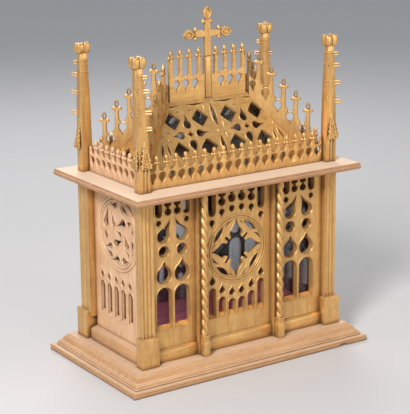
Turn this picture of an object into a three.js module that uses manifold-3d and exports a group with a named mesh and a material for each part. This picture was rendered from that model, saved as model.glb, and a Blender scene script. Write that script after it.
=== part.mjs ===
// A reliquary: a carved and gilded wooden chapel with pierced tracery walls,
// a hipped tracery roof, cresting, four pinnacles and a cross.
// Millimetres, +Z up, front towards -Y. Origin at the middle of the underside.

import * as THREE from 'three';
import { mergeVertices } from 'three/addons/utils/BufferGeometryUtils.js';
import Module from 'manifold-3d';

const wasm = await Module();
wasm.setup();

// ---------------------------------------------------------------- sizes
const BASE_W = 500; // slab, side to side
const BASE_D = 296; // slab, front to back
const K = BASE_W / 400; // mm per drawing unit: the carving is drawn on a 400-wide slab
const GAP = 0.3; // clearance between pieces that touch

const SLAB_TOP = 10.8;
const BASE_TOP = 32.8;
const WALL_TOP = 325.3; // underside of the cornice less the gap
const CORNICE = { w: 468.6, d: 283.6, z0: 325.6, z1: 337.5, round: 3.6 };

const POST = { x0: 181.9, x1: 206, y0: 87.5, y1: 105.8, back_y0: 72 };
const BLOCK = { x0: 178, x1: 211.9, y0: 92.5, y1: 113.2, top: 85, back_y0: 78 };
const PANEL = { face: 95.6, t: 10 }; // front and back walls
const SIDE = { face: 192.9, t: 10, y0: -87.2, y1: 71.7 };
const MULLIONS = [[-92.6, -76.4], [67.6, 83.9]]; // front; the back is turned half round
const BAYS = [[-181.6, -92.9], [-76.1, 67.3], [84.2, 181.6]];
const COLUMN = { r: 7.1, y: 113.3, base: 5.8, base_top: 70, lead: 36 };
const SILL = { top: 54, face: 101.2 };

const GALLERY = { face: 93.8, side_face: 191.9, t: 6, z0: 337.8, top: 395 };
const PINNACLE = { x0: 183.8, x1: 205.4, y0: 87.5, y1: 104.8, cap0: 545.6, cap1: 566 };
const RIDGE = { x: 82.5, z: 463.8 };
const EAVES = { x: 182.6, y: 82.9, z: 337.8 };
const ROOF_T = 5;
const CREST_T = 6;
const CROSS = { z: 573.5, arm: 50, half: 6.2, t: 7.8, foot: 534, top: 621.3 };

// ---------------------------------------------------------------- materials
function mat(name, color, roughness, metalness, extra = {}) {
  return new THREE.MeshStandardMaterial({ name, color, roughness, metalness, ...extra });
}
const LOOK = {
  gilded: () => mat('gilded_wood', 0xc99a57, 0.5, 0.35),
  pale: () => mat('pale_gilding', 0xe2c8a4, 0.55, 0.2),
  satin: () => mat('satin', 0x7a3450, 0.45, 0),
  board: () => mat('painted_board', 0x5a1d1c, 0.8, 0),
  glass: () => mat('glass', 0xe8f0f0, 0.05, 0, { transparent: true, opacity: 0.3 }),
};

const group = new THREE.Group();
group.name = 'reliquary';
function add(name, geometry, look) {
  const mesh = new THREE.Mesh(geometry, LOOK[look]());
  mesh.name = name;
  group.add(mesh);
}

// ---------------------------------------------------------------- solids
function weld(geometry) {
  const g = geometry.clone();
  g.deleteAttribute('normal');
  g.deleteAttribute('uv');
  return mergeVertices(g, 1e-4);
}

function toManifold(geometry) {
  const g = weld(geometry);
  const mesh = new wasm.Mesh({
    numProp: 3,
    vertProperties: new Float32Array(g.attributes.position.array),
    triVerts: new Uint32Array(g.index.array),
  });
  return new wasm.Manifold(mesh);
}

function toGeometry(manifold) {
  const mesh = manifold.getMesh();
  const g = new THREE.BufferGeometry();
  g.setAttribute('position', new THREE.BufferAttribute(new Float32Array(mesh.vertProperties), 3));
  g.setIndex(new THREE.BufferAttribute(new Uint32Array(mesh.triVerts), 1));
  g.computeVertexNormals();
  return g;
}

function union(...geometries) {
  return toGeometry(geometries.map(toManifold).reduce((a, b) => a.add(b)));
}
function cut(geometry, ...tools) {
  return toGeometry(tools.map(toManifold).reduce((a, b) => a.subtract(b), toManifold(geometry)));
}

function box(x0, x1, y0, y1, z0, z1) {
  const g = new THREE.BoxGeometry(x1 - x0, y1 - y0, z1 - z0);
  return g.translate((x0 + x1) / 2, (y0 + y1) / 2, (z0 + z1) / 2);
}

// A frustum-like solid through level rectangles [z, x0, x1, y0, y1].
function tower(levels) {
  const at = [];
  for (const [z, x0, x1, y0, y1] of levels) {
    at.push([x0, y0, z], [x1, y0, z], [x1, y1, z], [x0, y1, z]);
  }
  const faces = [[0, 2, 1], [0, 3, 2]];
  for (let k = 0; k < levels.length - 1; k++) {
    for (let i = 0; i < 4; i++) {
      const a = 4 * k + i;
      const b = 4 * k + ((i + 1) % 4);
      faces.push([a, b, b + 4], [a, b + 4, a + 4]);
    }
  }
  const n = 4 * (levels.length - 1);
  faces.push([n, n + 1, n + 2], [n, n + 2, n + 3]);
  const g = new THREE.BufferGeometry();
  g.setAttribute('position', new THREE.Float32BufferAttribute(at.flat(), 3));
  g.setIndex(faces.flat());
  g.computeVertexNormals();
  return g;
}

// A flat board: outline and holes as [u, v] pairs, extruded by t.
function prism(points, t) {
  const shape = new THREE.Shape(points.map(([u, v]) => new THREE.Vector2(u, v)));
  return weld(new THREE.ExtrudeGeometry(shape, { depth: t, bevelEnabled: false }));
}
function board(outline, holes, t) {
  const tools = holes.map((hole) => prism(hole, t + 2).translate(0, 0, -1));
  return cut(prism(outline, t), ...tools);
}

// Places a board: u along a, v along b, thickness along a x b, starting at origin.
function place(geometry, origin, a, b) {
  const u = new THREE.Vector3(...a).normalize();
  const v = new THREE.Vector3(...b).normalize();
  const w = new THREE.Vector3().crossVectors(u, v);
  const m = new THREE.Matrix4().makeBasis(u, v, w).setPosition(...origin);
  return geometry.clone().applyMatrix4(m);
}
const turned = (geometry) => geometry.clone().rotateZ(Math.PI);

// ---------------------------------------------------------------- openings (drawing units)
const scale = (points) => points.map(([u, v]) => [u * K, v * K]);
const shift = (points, du, dv) => points.map(([u, v]) => [u + du, v + dv]);
const spin = (points, angle, cu, cv) => points.map(([u, v]) => {
  const [x, y] = [u - cu, v - cv];
  const [c, s] = [Math.cos(angle), Math.sin(angle)];
  return [cu + c * x - s * y, cv + s * x + c * y];
});
const flip = (points) => points.map(([u, v]) => [-u, v]).reverse();

// A drop: a round end of radius r about (cu, cv), drawn out to a tip.
function drop(cu, cv, r, tu, tv, n = r < 6 ? 3 : 4) {
  const away = Math.atan2(tv - cv, tu - cu);
  const open = Math.acos(Math.min(0.9, r / Math.hypot(tu - cu, tv - cv)));
  const points = [[tu, tv]];
  for (let i = 0; i < n; i++) {
    const a = away + open + ((2 * Math.PI - 2 * open) * i) / (n - 1);
    points.push([cu + r * Math.cos(a), cv + r * Math.sin(a)]);
  }
  return points;
}

// A round-headed light.
function lancet(cu, half, v0, top, n) {
  const points = [[cu - half, v0], [cu + half, v0]];
  for (let i = 0; i <= n; i++) {
    const a = (Math.PI * i) / n;
    points.push([cu + half * Math.cos(a), top - half + half * Math.sin(a)]);
  }
  return points;
}

// A slot hanging from the top rail, narrower at the foot.
function slot(cu, half, v0, v1) {
  return [[cu + half, v1], [cu - half, v1], [cu - half * 0.7, v0], [cu + half * 0.7, v0]];
}

// ---------------------------------------------------------------- base
const slab = box(-BASE_W / 2, BASE_W / 2, -BASE_D / 2, BASE_D / 2, 0, SLAB_TOP);
add('base_slab', slab, 'pale');

const MOULDING = [[9, 11.1], [9, 18.8], [12.6, 19.6], [12.6, 22.2], [15.2, 23.2], [18.4, 26],
  [20.8, 29.6], [25.5, BASE_TOP]]; // inset from the slab's edge, height
const ring = MOULDING.map(([w, z]) => [z, w - BASE_W / 2, BASE_W / 2 - w, w - BASE_D / 2,
  BASE_D / 2 - w]);
add('base_moulding', tower(ring), 'pale');

// ---------------------------------------------------------------- posts
function fluted(x0, x1, y0, y1, flutes) {
  // plan of a shaft; the outer face at y0 has v-flutes
  const points = [[x0, y1], [x0, y0]];
  const pitch = (x1 - x0) / flutes;
  for (let i = 0; i < flutes; i++) {
    const c = x0 + pitch * (i + 0.5);
    points.push([c - 2.2, y0], [c, y0 + 1.8], [c + 2.2, y0]);
  }
  points.push([x1, y0], [x1, y1]);
  return points;
}

function frontPost() {
  // the front-left post, block and shaft
  const plan = fluted(-POST.x1, -POST.x0, -POST.y1, -POST.y0, 3);
  const shaft = board(plan, [], WALL_TOP - BASE_TOP - GAP).translate(0, 0, BASE_TOP + GAP);
  const foot = box(-BLOCK.x1, -POST.x0, -BLOCK.y1, -BLOCK.y0, BASE_TOP + GAP, BLOCK.top);
  const lip = box(-POST.x0 - 1, -BLOCK.x0, -BLOCK.y1, -SILL.face - GAP, BASE_TOP + GAP, BLOCK.top);
  return union(shaft, foot, lip);
}

function backPost() {
  // the back-left post: deeper, with one groove down its outer side
  const { x0, x1, y1, back_y0: y0 } = POST;
  const mid = (y0 + y1) / 2 - 2;
  const plan = [[-x0, y0], [-x0, y1], [-x1, y1], [-x1, mid + 1.6], [-x1 + 1.8, mid],
    [-x1, mid - 1.6], [-x1, y0]];
  const shaft = board(plan, [], WALL_TOP - BASE_TOP - GAP).translate(0, 0, BASE_TOP + GAP);
  const foot = box(-BLOCK.x1, -x0, BLOCK.back_y0, BLOCK.y1, BASE_TOP + GAP, BLOCK.top);
  return union(shaft, foot);
}

const mirrorX = (geometry) => {
  const g = geometry.clone().scale(-1, 1, 1);
  const index = Array.from(g.index.array);
  for (let i = 0; i < index.length; i += 3) {
    [index[i], index[i + 1]] = [index[i + 1], index[i]];
  }
  g.setIndex(index);
  return g;
};
add('post_front_left', frontPost(), 'gilded');
add('post_front_right', mirrorX(frontPost()), 'gilded');
add('post_back_left', backPost(), 'gilded');
add('post_back_right', mirrorX(backPost()), 'gilded');

// ---------------------------------------------------------------- wall tracery
function bayHoles(centre) {
  // one narrow bay: two lights under drops, leaning drops and hanging slots
  const half = [
    lancet(15, 12.6, 75, 131, 4),
    drop(15.2, 149, 11.6, 14.4, 167.5),
    drop(15.4, 184.5, 8, 15.4, 174.5),
    drop(14.6, 203.6, 11, 3.4, 221),
  ];
  const holes = [];
  for (const h of half) {
    holes.push(shift(h, centre, 0), shift(flip(h), centre, 0));
  }
  for (const c of [-22.3, -7.4, 7.4, 22.3]) {
    const outer = Math.abs(c) > 15;
    holes.push(slot(centre + c, 4.6, outer ? 230 : 233, 256));
    if (outer) {
      holes.push(drop(centre + c, 223.6, 3.6, centre + c, 216.5));
    }
  }
  return holes;
}

const ROSE = { u: -4.5, v: 168 };
function roseHoles() {
  // four-pointed star with three flame lights to each quarter
  const star = [];
  const quarter = [[0, 32], [24, 17], [33, 27], [57, 27], [66, 17]]; // degrees, radius
  for (let q = 0; q < 4; q++) {
    for (const [deg, r] of quarter) {
      const a = ((q * 90 + deg) * Math.PI) / 180;
      star.push([ROSE.u + r * Math.cos(a), ROSE.v + r * Math.sin(a)]);
    }
  }
  const flames = [
    [[41, 1], [37, 13], [30, 20], [22, 20], [29, 13]],
    [[28.5, 27], [21, 35], [12, 36], [12, 30], [20, 27]],
    [[11, 39], [2, 41.5], [-1, 36], [3, 33], [8, 34]],
  ];
  const holes = [star];
  for (let q = 0; q < 4; q++) {
    for (const f of flames) {
      holes.push(shift(spin(f, (q * Math.PI) / 2, 0, 0), ROSE.u, ROSE.v));
    }
  }
  return holes;
}

function middleHoles() {
  const tops = [114, 99, 95, 95.5, 101, 114.5];
  const feet = [217, 231, 235, 235, 231.5, 219];
  const holes = roseHoles();
  tops.forEach((top, i) => {
    const c = -45.7 + 16.6 * i;
    holes.push(lancet(c, 4.8, 75, top, 3));
    holes.push(drop(c, top + 8.6, 4.3, c, top + 17));
    holes.push(slot(c, 4.8, feet[i], 256));
    holes.push(drop(c, feet[i] - 5.6, 4.2, c, feet[i] - 14));
  });
  return holes;
}

function wall(x0, x1, holes) {
  const rect = [[x0, BASE_TOP + GAP], [x1, BASE_TOP + GAP], [x1, WALL_TOP], [x0, WALL_TOP]];
  const g = board(rect, holes.map(scale), PANEL.t);
  return place(g, [0, -PANEL.face + PANEL.t, 0], [1, 0, 0], [0, 0, 1]);
}

const walls = [
  ['left', wall(...BAYS[0], bayHoles(-109.5))],
  ['middle', wall(...BAYS[1], middleHoles())],
  ['right', wall(...BAYS[2], bayHoles(103.4))],
];
for (const [name, g] of walls) {
  add(`panel_front_${name}`, g, 'gilded');
}
for (const [name, g] of walls) {
  add(`panel_back_${name}`, turned(g), 'gilded');
}

function sideHoles() {
  // u runs towards the front; the wheel is carved with whirling lights
  const lights = [
    [[-21, 228], [-27, 222], [-30, 208], [-26, 198], [-19, 203], [-18, 216]],
    [[-29, 192], [-23, 192], [-20, 184], [-24, 180]],
    [[-12, 226], [-7, 216], [1, 200], [-4, 200], [-10, 212]],
    [[-5, 237], [2, 240], [8, 233], [3, 230]],
    [[14, 241], [26, 241], [35, 232], [26, 229], [16, 232]],
    [[12, 209], [20, 218], [27, 219], [28, 211], [22, 207]],
    [[24, 196], [29, 190], [33, 180], [27, 180], [24, 188]],
    [[13, 187], [2, 186], [-3, 179], [3, 175], [10, 179]],
    [[-18, 166], [-3, 166], [-8, 159], [-14, 160]],
    [[-6, 156], [5, 165], [11, 160], [8, 152]],
    [[18, 164], [26, 164], [28, 156], [20, 155]],
    [[40, 196], [43.5, 190], [43.5, 172], [40, 176]],
  ];
  const holes = lights.map((p) => shift(p, 1, 0));
  for (let i = 0; i < 5; i++) {
    const c = -38.5 + 18.9 * i;
    holes.push(lancet(c, 4.8, 75, 117, 3));
    holes.push(drop(c, 127, 4.2, c - 1, 136));
  }
  return holes;
}

const sideRect = [[-SIDE.y1, BASE_TOP + GAP], [-SIDE.y0, BASE_TOP + GAP], [-SIDE.y0, WALL_TOP],
  [-SIDE.y1, WALL_TOP]];
const sideWall = place(board(sideRect, sideHoles().map(scale), SIDE.t),
  [-SIDE.face + SIDE.t, 0, 0], [0, -1, 0], [0, 0, 1]);
const squareWall = place(board(sideRect.map(([u, v]) => [-u, v]).reverse(),
  sideHoles().map(flip).map(scale), SIDE.t), [SIDE.face, 0, 0], [0, 1, 0], [0, 0, 1]);
add('panel_side_left', sideWall, 'pale');
add('panel_side_right', squareWall.translate(-SIDE.t, 0, 0), 'pale');

// ---------------------------------------------------------------- mullions, colonnettes, sills
MULLIONS.forEach(([x0, x1], i) => {
  const g = box(x0, x1, -POST.y1, -PANEL.face + PANEL.t, BASE_TOP + GAP, WALL_TOP);
  const side = ['left', 'right'][i];
  add(`mullion_front_${side}`, g, 'gilded');
  add(`mullion_back_${side}`, turned(g), 'gilded');
});

function twist(r, z0, z1, lead) {
  // a two-strand rope: an oval plan turned as it rises
  const n = 6;
  const rings = Math.round((z1 - z0) / 13.5);
  const at = [];
  for (let k = 0; k <= rings; k++) {
    const z = z0 + ((z1 - z0) * k) / rings;
    for (let i = 0; i < n; i++) {
      const a = (2 * Math.PI * i) / n;
      const rad = r * (i % 3 ? 0.86 : 1);
      const b = a + (Math.PI * (z - z0)) / lead;
      at.push([rad * Math.cos(b), rad * Math.sin(b), z]);
    }
  }
  const faces = [];
  for (let k = 0; k < rings; k++) {
    for (let i = 0; i < n; i++) {
      const a = n * k + i;
      const b = n * k + ((i + 1) % n);
      faces.push([a, b, b + n], [a, b + n, a + n]);
    }
  }
  for (let i = 1; i < n - 1; i++) {
    faces.push([0, i + 1, i], [n * rings, n * rings + i, n * rings + i + 1]);
  }
  const g = new THREE.BufferGeometry();
  g.setAttribute('position', new THREE.Float32BufferAttribute(at.flat(), 3));
  g.setIndex(faces.flat());
  g.computeVertexNormals();
  return g;
}

MULLIONS.forEach(([x0, x1], i) => {
  const c = (x0 + x1) / 2;
  const base = box(c - COLUMN.base, c + COLUMN.base, -COLUMN.y - 6.2, -POST.y1 - GAP,
    BASE_TOP + GAP, COLUMN.base_top);
  const rope = twist(COLUMN.r, COLUMN.base_top - 2, WALL_TOP, COLUMN.lead);
  const g = union(base, rope.translate(c, -COLUMN.y, 0));
  add(`colonnette_${['left', 'right'][i]}`, g, 'pale');
});

BAYS.forEach(([x0, x1], i) => {
  const plan = [[SILL.face, BASE_TOP + GAP], [SILL.face, SILL.top - 1.6], [PANEL.face + GAP,
    SILL.top], [PANEL.face + GAP, BASE_TOP + GAP]];
  const g = place(board(plan.map(([y, z]) => [-y, z]).reverse(), [], x1 - x0), [x0, 0, 0],
    [0, 1, 0], [0, 0, 1]);
  const side = ['left', 'middle', 'right'][i];
  add(`sill_front_${side}`, g, 'gilded');
  add(`sill_back_${side}`, turned(g), 'gilded');
});
const sideSill = box(-POST.x1, -SIDE.face - GAP, SIDE.y0, SIDE.y1, BASE_TOP + GAP, SILL.top + 1);
add('sill_side_left', sideSill, 'pale');
add('sill_side_right', mirrorX(toGeometry(toManifold(sideSill))), 'pale');

// ---------------------------------------------------------------- floor and cushion
add('floor', box(-179.5, 179.5, -82.4, 82.4, BASE_TOP + GAP, 46), 'board');
function cushion() {
  // satin over a pad: a low domed block
  const levels = [[46.3, 172, 76], [52, 178, 81.6], [66, 178, 81.6], [72, 168, 72], [74, 150, 56]];
  return tower(levels.map(([z, x, y]) => [z, -x, x, -y, y]));
}
add('satin_cushion', cushion(), 'satin');

// ---------------------------------------------------------------- cornice
function cornice() {
  const { w, d, z0, z1, round } = CORNICE;
  const steps = [[z0, round], [z0 + 1.2, 1.2], [z0 + 4, 0], [z1 - 4, 0], [z1 - 1.4, 1],
    [z1, round]];
  return tower(steps.map(([z, e]) => [z, e - w / 2, w / 2 - e, e - d / 2, d / 2 - e]));
}
add('cornice_board', cornice(), 'pale');

// ---------------------------------------------------------------- galleries
function gallery(length, bays, pitch) {
  const z0 = GALLERY.z0;
  const outline = [[-length / 2, z0], [length / 2, z0], [length / 2, 386]];
  const holes = [];
  for (let i = 0; i < bays; i++) {
    const c = ((bays - 1) / 2 - i) * pitch;
    outline.push([c + 5.2, 386], [c + 3.8, 369.8], [c - 3.8, 369.8], [c - 5.2, 386]);
    if (i < bays - 1) {
      outline.push([c - pitch / 2, GALLERY.top]);
    }
    holes.push(drop(c, 359, 5.2, c, 349.4));
  }
  outline.push([-length / 2, 386]);
  return board(outline, holes, GALLERY.t);
}
const PX = PINNACLE.x0 - GAP;
const PY = PINNACLE.y0 - GAP;
const frontGallery = place(gallery(2 * PX, 19, 19.5), [0, -GALLERY.face + GALLERY.t, 0], [1, 0, 0],
  [0, 0, 1]);
const sideGallery = place(gallery(2 * PY, 10, 17.4), [-GALLERY.side_face + GALLERY.t, 0, 0],
  [0, -1, 0], [0, 0, 1]);
add('gallery_front', frontGallery, 'gilded');
add('gallery_back', turned(frontGallery), 'gilded');
add('gallery_left', sideGallery, 'pale');
add('gallery_right', turned(sideGallery), 'pale');

// ---------------------------------------------------------------- pinnacles
function pinnacle(lean) {
  // front-left pinnacle: tapering shaft, gablets on the outer faces, broken crocket cap
  const cx = -(PINNACLE.x0 + PINNACLE.x1) / 2;
  const cy = -(PINNACLE.y0 + PINNACLE.y1) / 2;
  const sizes = [[337.8, 10.8, 8.65], [430, 10, 8.4], [432, 11, 9.4], [436, 11, 9.4], [438, 9.6, 8],
    [PINNACLE.cap0 - 8, 6.8, 5.7], [PINNACLE.cap0, 6.8, 5.7], [PINNACLE.cap0 + 3, 11, 8.8],
    [PINNACLE.cap1 - 6, 12, 9.6], [PINNACLE.cap1, 10, 8]];
  const level = ([z, a, b]) => {
    const s = lean * Math.max(0, (z - 340) / (PINNACLE.cap1 - 340));
    return [z, cx + s - a, cx + s + a, cy - b, cy + b];
  };
  const shaft = tower(sizes.map(level));
  const notch = box(cx + lean - 2.4, cx + lean + 2.4, cy - 30, cy + 30, PINNACLE.cap1 - 4, 600);
  const gable = place(board([[-9, 0], [9, 0], [0, 48]], [], 4), [cx + lean * 0.3,
    cy - 8, 372], [1, 0, 0], [0, 0, 1]);
  const fin = place(board([[-8, 0], [8, 0], [0, 44]], [], 4), [cx + lean * 0.3 - 9, cy, 374],
    [0, -1, 0], [0, 0, 1]);
  const crockets = [];
  for (const z of [428, 462, 500]) {
    const s = lean * ((z - 340) / (PINNACLE.cap1 - 340));
    const a = 10.4 - 0.018 * (z - 400);
    crockets.push(box(cx + s - a - 5, cx + s, cy - 1.6, cy + 1.6, z, z + 5));
  }
  return union(cut(shaft, notch), gable, fin, ...crockets);
}
add('pinnacle_front_left', pinnacle(-6), 'gilded');
add('pinnacle_front_right', mirrorX(pinnacle(0)), 'gilded');
add('pinnacle_back_left', turned(mirrorX(pinnacle(0))), 'gilded');
add('pinnacle_back_right', turned(pinnacle(0)), 'gilded');

// ---------------------------------------------------------------- roof
const hip = new THREE.Vector3(EAVES.x - RIDGE.x, -EAVES.y, EAVES.z - RIDGE.z); // front right hip
const hipPlan = new THREE.Vector2(hip.x, hip.y).normalize();

function hipTool(half) {
  // a tall upright slice along all four hips, for trimming the roof panels
  const long = new THREE.BoxGeometry(400, 2 * half, 400);
  return [1, -1].flatMap((sx) => [1, -1].map((sy) => {
    const g = long.clone().translate(200 - 6, 0, 0);
    g.rotateZ(Math.atan2(sy * hipPlan.y, sx * hipPlan.x));
    return g.translate(sx * RIDGE.x, 0, 400);
  }));
}

function roofHoles(front) {
  const rose = (cu) => {
    const quarter = [
      [[0, 30], [-5.5, 17], [0, 10], [5.5, 17]],
      [[24, 38], [12, 24], [25, 12], [37, 25]],
    ];
    const holes = [];
    for (let q = 0; q < 4; q++) {
      for (const h of quarter) {
        holes.push(spin(shift(h, cu, -55), (q * Math.PI) / 2, cu, -55));
      }
    }
    holes.push([[cu - 7, -55], [cu, -62], [cu + 7, -55], [cu, -48]]);
    return holes;
  };
  if (front) {
    return [...rose(47), ...rose(-47), [[-4, -27], [0, -37], [4, -27], [0, -17]]];
  }
  return rose(0).map((h) => h.map(([u, v]) => [u * 0.66, -84 + (v + 55) * 0.66]));
}

function roofPanel(front) {
  const run = front ? EAVES.y : EAVES.x - RIDGE.x;
  const drop_ = RIDGE.z - EAVES.z;
  const slope = Math.hypot(run, drop_);
  const low = front ? EAVES.x : EAVES.y;
  const high = front ? RIDGE.x : 0;
  const trim = ROOF_T * (run / drop_);
  const outline = [[-low, -slope + trim], [low, -slope + trim], [high, 0]];
  if (front) {
    outline.push([-high, 0]);
  }
  const sheet = board(outline, roofHoles(front).map(scale), ROOF_T);
  const up = front ? [0, run, drop_] : [run, 0, drop_];
  const along = front ? [1, 0, 0] : [0, -1, 0];
  const v = new THREE.Vector3(...up).normalize();
  const w = new THREE.Vector3().crossVectors(new THREE.Vector3(...along), v);
  const start = new THREE.Vector3(front ? 0 : -RIDGE.x, 0, RIDGE.z).addScaledVector(w, -ROOF_T);
  const placed = place(sheet, start.toArray(), along, up);
  const half = CREST_T / 2 + GAP;
  const ridgeTool = box(-300, 300, -half, half, 400, 600);
  const pieces = toManifold(cut(placed, ...hipTool(half), ridgeTool)).decompose();
  pieces.sort((a, b) => b.volume() - a.volume());
  return toGeometry(pieces[0]);
}
const roofFront = roofPanel(true);
const roofSide = roofPanel(false);
add('roof_front', roofFront, 'gilded');
add('roof_back', turned(roofFront), 'gilded');
add('roof_left', roofSide, 'gilded');
add('roof_right', turned(roofSide), 'gilded');

// ---------------------------------------------------------------- crests
const hipRun = Math.hypot(hip.x, hip.y);
const hipFall = -hip.z / hipRun;
function hipCrest() {
  // u runs down the hip in plan, v is height; finials step down the slope
  const step = 22.1;
  const first = 20;
  const line = (u) => RIDGE.z - hipFall * u;
  const outline = [];
  const end = hipRun - 8;
  outline.push([4.4, line(4.4) - 7], [end, Math.max(line(end) - 7, EAVES.z)], [end, line(end) + 12]);
  const holes = [];
  for (let k = 4; k >= 0; k--) {
    const u = first + step * k;
    const z = line(u);
    outline.push([u + 7.6, z + 24], [u + 3.2, z + 32]);
    outline.push([u + 3, z + 58], [u + 5, z + 62], [u, z + 82], [u - 5, z + 62], [u - 3, z + 58]);
    outline.push([u - 3.2, z + 46]);
    if (k > 0) {
      const c = u - step / 2 - 1;
      holes.push(drop(c, line(c) + 27, 5.6, c, line(c) + 16));
    }
  }
  outline.push([4.4, line(4.4) + 50]);
  return board(outline, holes, CREST_T);
}
const crest = hipCrest();
[['front_right', 1, -1], ['front_left', -1, -1], ['back_right', 1, 1],
  ['back_left', -1, 1]].forEach(([name, sx, sy]) => {
  const along = [sx * hipPlan.x, -sy * hipPlan.y, 0];
  const w = new THREE.Vector3(...along).cross(new THREE.Vector3(0, 0, 1));
  const start = new THREE.Vector3(sx * RIDGE.x, 0, 0).addScaledVector(w, -CREST_T / 2);
  add(`crest_hip_${name}`, place(crest, start.toArray(), along, [0, 0, 1]), 'gilded');
});

function ridgeCrest() {
  // right half, from the cross post to the hip
  const x0 = CROSS.half + GAP;
  const x1 = RIDGE.x - 1.5;
  const z0 = RIDGE.z - 6;
  const outline = [[x0, z0], [x1, z0], [x1, 524]];
  const holes = [];
  for (let i = 3; i >= 0; i--) {
    const f = 18.2 + 19.1 * i;
    outline.push([f + 3.6, 530], [f + 3.6, 538], [f, 550], [f - 3.6, 538], [f - 3.6, 530]);
    const c = f - 9.5;
    if (i > 0) {
      outline.push([c + 5, 506], [c, 501], [c - 5, 506]);
      holes.push(drop(c, 490.6, 4.8, c, 481));
    }
  }
  outline.push([x0 + 2, 530], [x0 + 2, 506], [x0, 503]);
  return place(board(outline, holes, CREST_T), [0, CREST_T / 2, 0], [1, 0, 0], [0, 0, 1]);
}
const ridgeRight = ridgeCrest();
add('crest_ridge_right', ridgeRight, 'gilded');
add('crest_ridge_left', turned(ridgeRight), 'gilded');

// ---------------------------------------------------------------- cross
add('cross_post', box(-CROSS.half, CROSS.half, -4.6, 4.6, RIDGE.z - 2, CROSS.foot - GAP),
  'gilded');
function cross() {
  const { z, arm, half, t, foot, top } = CROSS;
  const outline = [[-half, foot], [half, foot], [half, z - half]];
  const end = (cu, cv, du, dv) => {
    // a bud with two round lobes; (du, dv) points outwards
    const p = (a, s) => [cu + du * a - dv * s, cv + dv * a + du * s];
    return [p(-22, -half * 0.8), p(-18, -11), p(-12, -11), p(-10, -half), p(0, 0), p(-10, half),
      p(-12, 11), p(-18, 11), p(-22, half * 0.8)];
  };
  outline.push(...end(arm, z, 1, 0), [half, z + half], ...end(0, top, 0, 1), [-half, z + half],
    ...end(-arm, z, -1, 0), [-half, z - half]);
  return place(board(outline, [], t), [0, t / 2, 0], [1, 0, 0], [0, 0, 1]);
}
add('cross', cross(), 'gilded');

// ---------------------------------------------------------------- glass
const GLASS_T = 2;
const glassY = PANEL.face - PANEL.t - GAP;
const glassX = SIDE.face - SIDE.t - GAP;
const paneFront = box(-180, 180, -glassY, -glassY + GLASS_T, 80, WALL_TOP);
add('glass_front', paneFront, 'glass');
add('glass_back', turned(paneFront), 'glass');
const paneSide = box(-glassX, -glassX + GLASS_T, -82.6, 70, 80, WALL_TOP);
add('glass_left', paneSide, 'glass');
add('glass_right', mirrorX(toGeometry(toManifold(paneSide))), 'glass');

function roofPane(front) {
  const run = front ? EAVES.y : EAVES.x - RIDGE.x;
  const fall = RIDGE.z - EAVES.z;
  const slope = Math.hypot(run, fall);
  const low = (front ? EAVES.x : EAVES.y) - 25;
  const high = front ? RIDGE.x - 10 : 2;
  const g = board([[-low, -slope + 14], [low, -slope + 14], [high, -22], [-high, -22]], [], GLASS_T);
  const up = front ? [0, run, fall] : [run, 0, fall];
  const along = front ? [1, 0, 0] : [0, -1, 0];
  const v = new THREE.Vector3(...up).normalize();
  const w = new THREE.Vector3().crossVectors(new THREE.Vector3(...along), v);
  const start = new THREE.Vector3(front ? 0 : -RIDGE.x, 0, RIDGE.z);
  start.addScaledVector(w, -ROOF_T - GAP - GLASS_T);
  return place(g, start.toArray(), along, up);
}
const paneRoof = roofPane(true);
const paneHip = roofPane(false);
add('glass_roof_front', paneRoof, 'glass');
add('glass_roof_back', turned(paneRoof), 'glass');
add('glass_roof_left', paneHip, 'glass');
add('glass_roof_right', turned(paneHip), 'glass');

export default group;
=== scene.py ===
# %% [markdown]
# # A gilded Gothic reliquary
# The real object is a small chapel cut from thin limewood boards. Each wall is a board pierced with
# tracery, and its bars are pared to a narrow edge in front. Posts, a moulded base and a cornice hold the
# walls. Cresting, pinnacles, an openwork roof and a cross stand on top, all under worn gilding.
#
# The measured solids fix every size. Each piece is then made again here with its real carving.

# %% Start from the measured solids
import math
import random

import bpy
import numpy as np
from mathutils import Matrix


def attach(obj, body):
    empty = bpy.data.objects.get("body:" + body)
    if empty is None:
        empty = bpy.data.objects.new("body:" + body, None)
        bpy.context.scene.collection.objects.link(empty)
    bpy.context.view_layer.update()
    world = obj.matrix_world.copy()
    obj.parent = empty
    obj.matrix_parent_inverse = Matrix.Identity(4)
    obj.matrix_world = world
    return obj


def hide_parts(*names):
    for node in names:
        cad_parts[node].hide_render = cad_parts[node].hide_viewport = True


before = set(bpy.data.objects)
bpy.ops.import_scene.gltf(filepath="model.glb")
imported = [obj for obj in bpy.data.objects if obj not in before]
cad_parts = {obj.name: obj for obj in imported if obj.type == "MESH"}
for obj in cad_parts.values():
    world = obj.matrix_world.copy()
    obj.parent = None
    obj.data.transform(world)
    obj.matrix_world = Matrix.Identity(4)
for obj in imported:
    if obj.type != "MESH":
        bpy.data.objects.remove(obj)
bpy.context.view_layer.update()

# %% [markdown]
# ## Drawing boards
# A carver draws the tracery on the board, saws out the openings and pares their edges to a slope. The
# same order works here: closed outlines give the board, and a slope on every edge gives the splay.
# Outlines are drawn in units of 1.25 mm, so the base slab is 400 units wide.

# %% Outlines of openings
U = 0.00125
cos = lambda a: math.cos(math.radians(a))
sin = lambda a: math.sin(math.radians(a))


def arc(cx, cy, r, a0, a1, n=6):
    return [(cx + r * cos(a0 + (a1 - a0) * i / n), cy + r * sin(a0 + (a1 - a0) * i / n))
            for i in range(n + 1)]


def light(c, half, y0, top, n=9):
    """A round-headed light."""
    return [(c - half, y0), (c + half, y0)] + arc(c, top - half, half, 0, 180, n)


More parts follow.
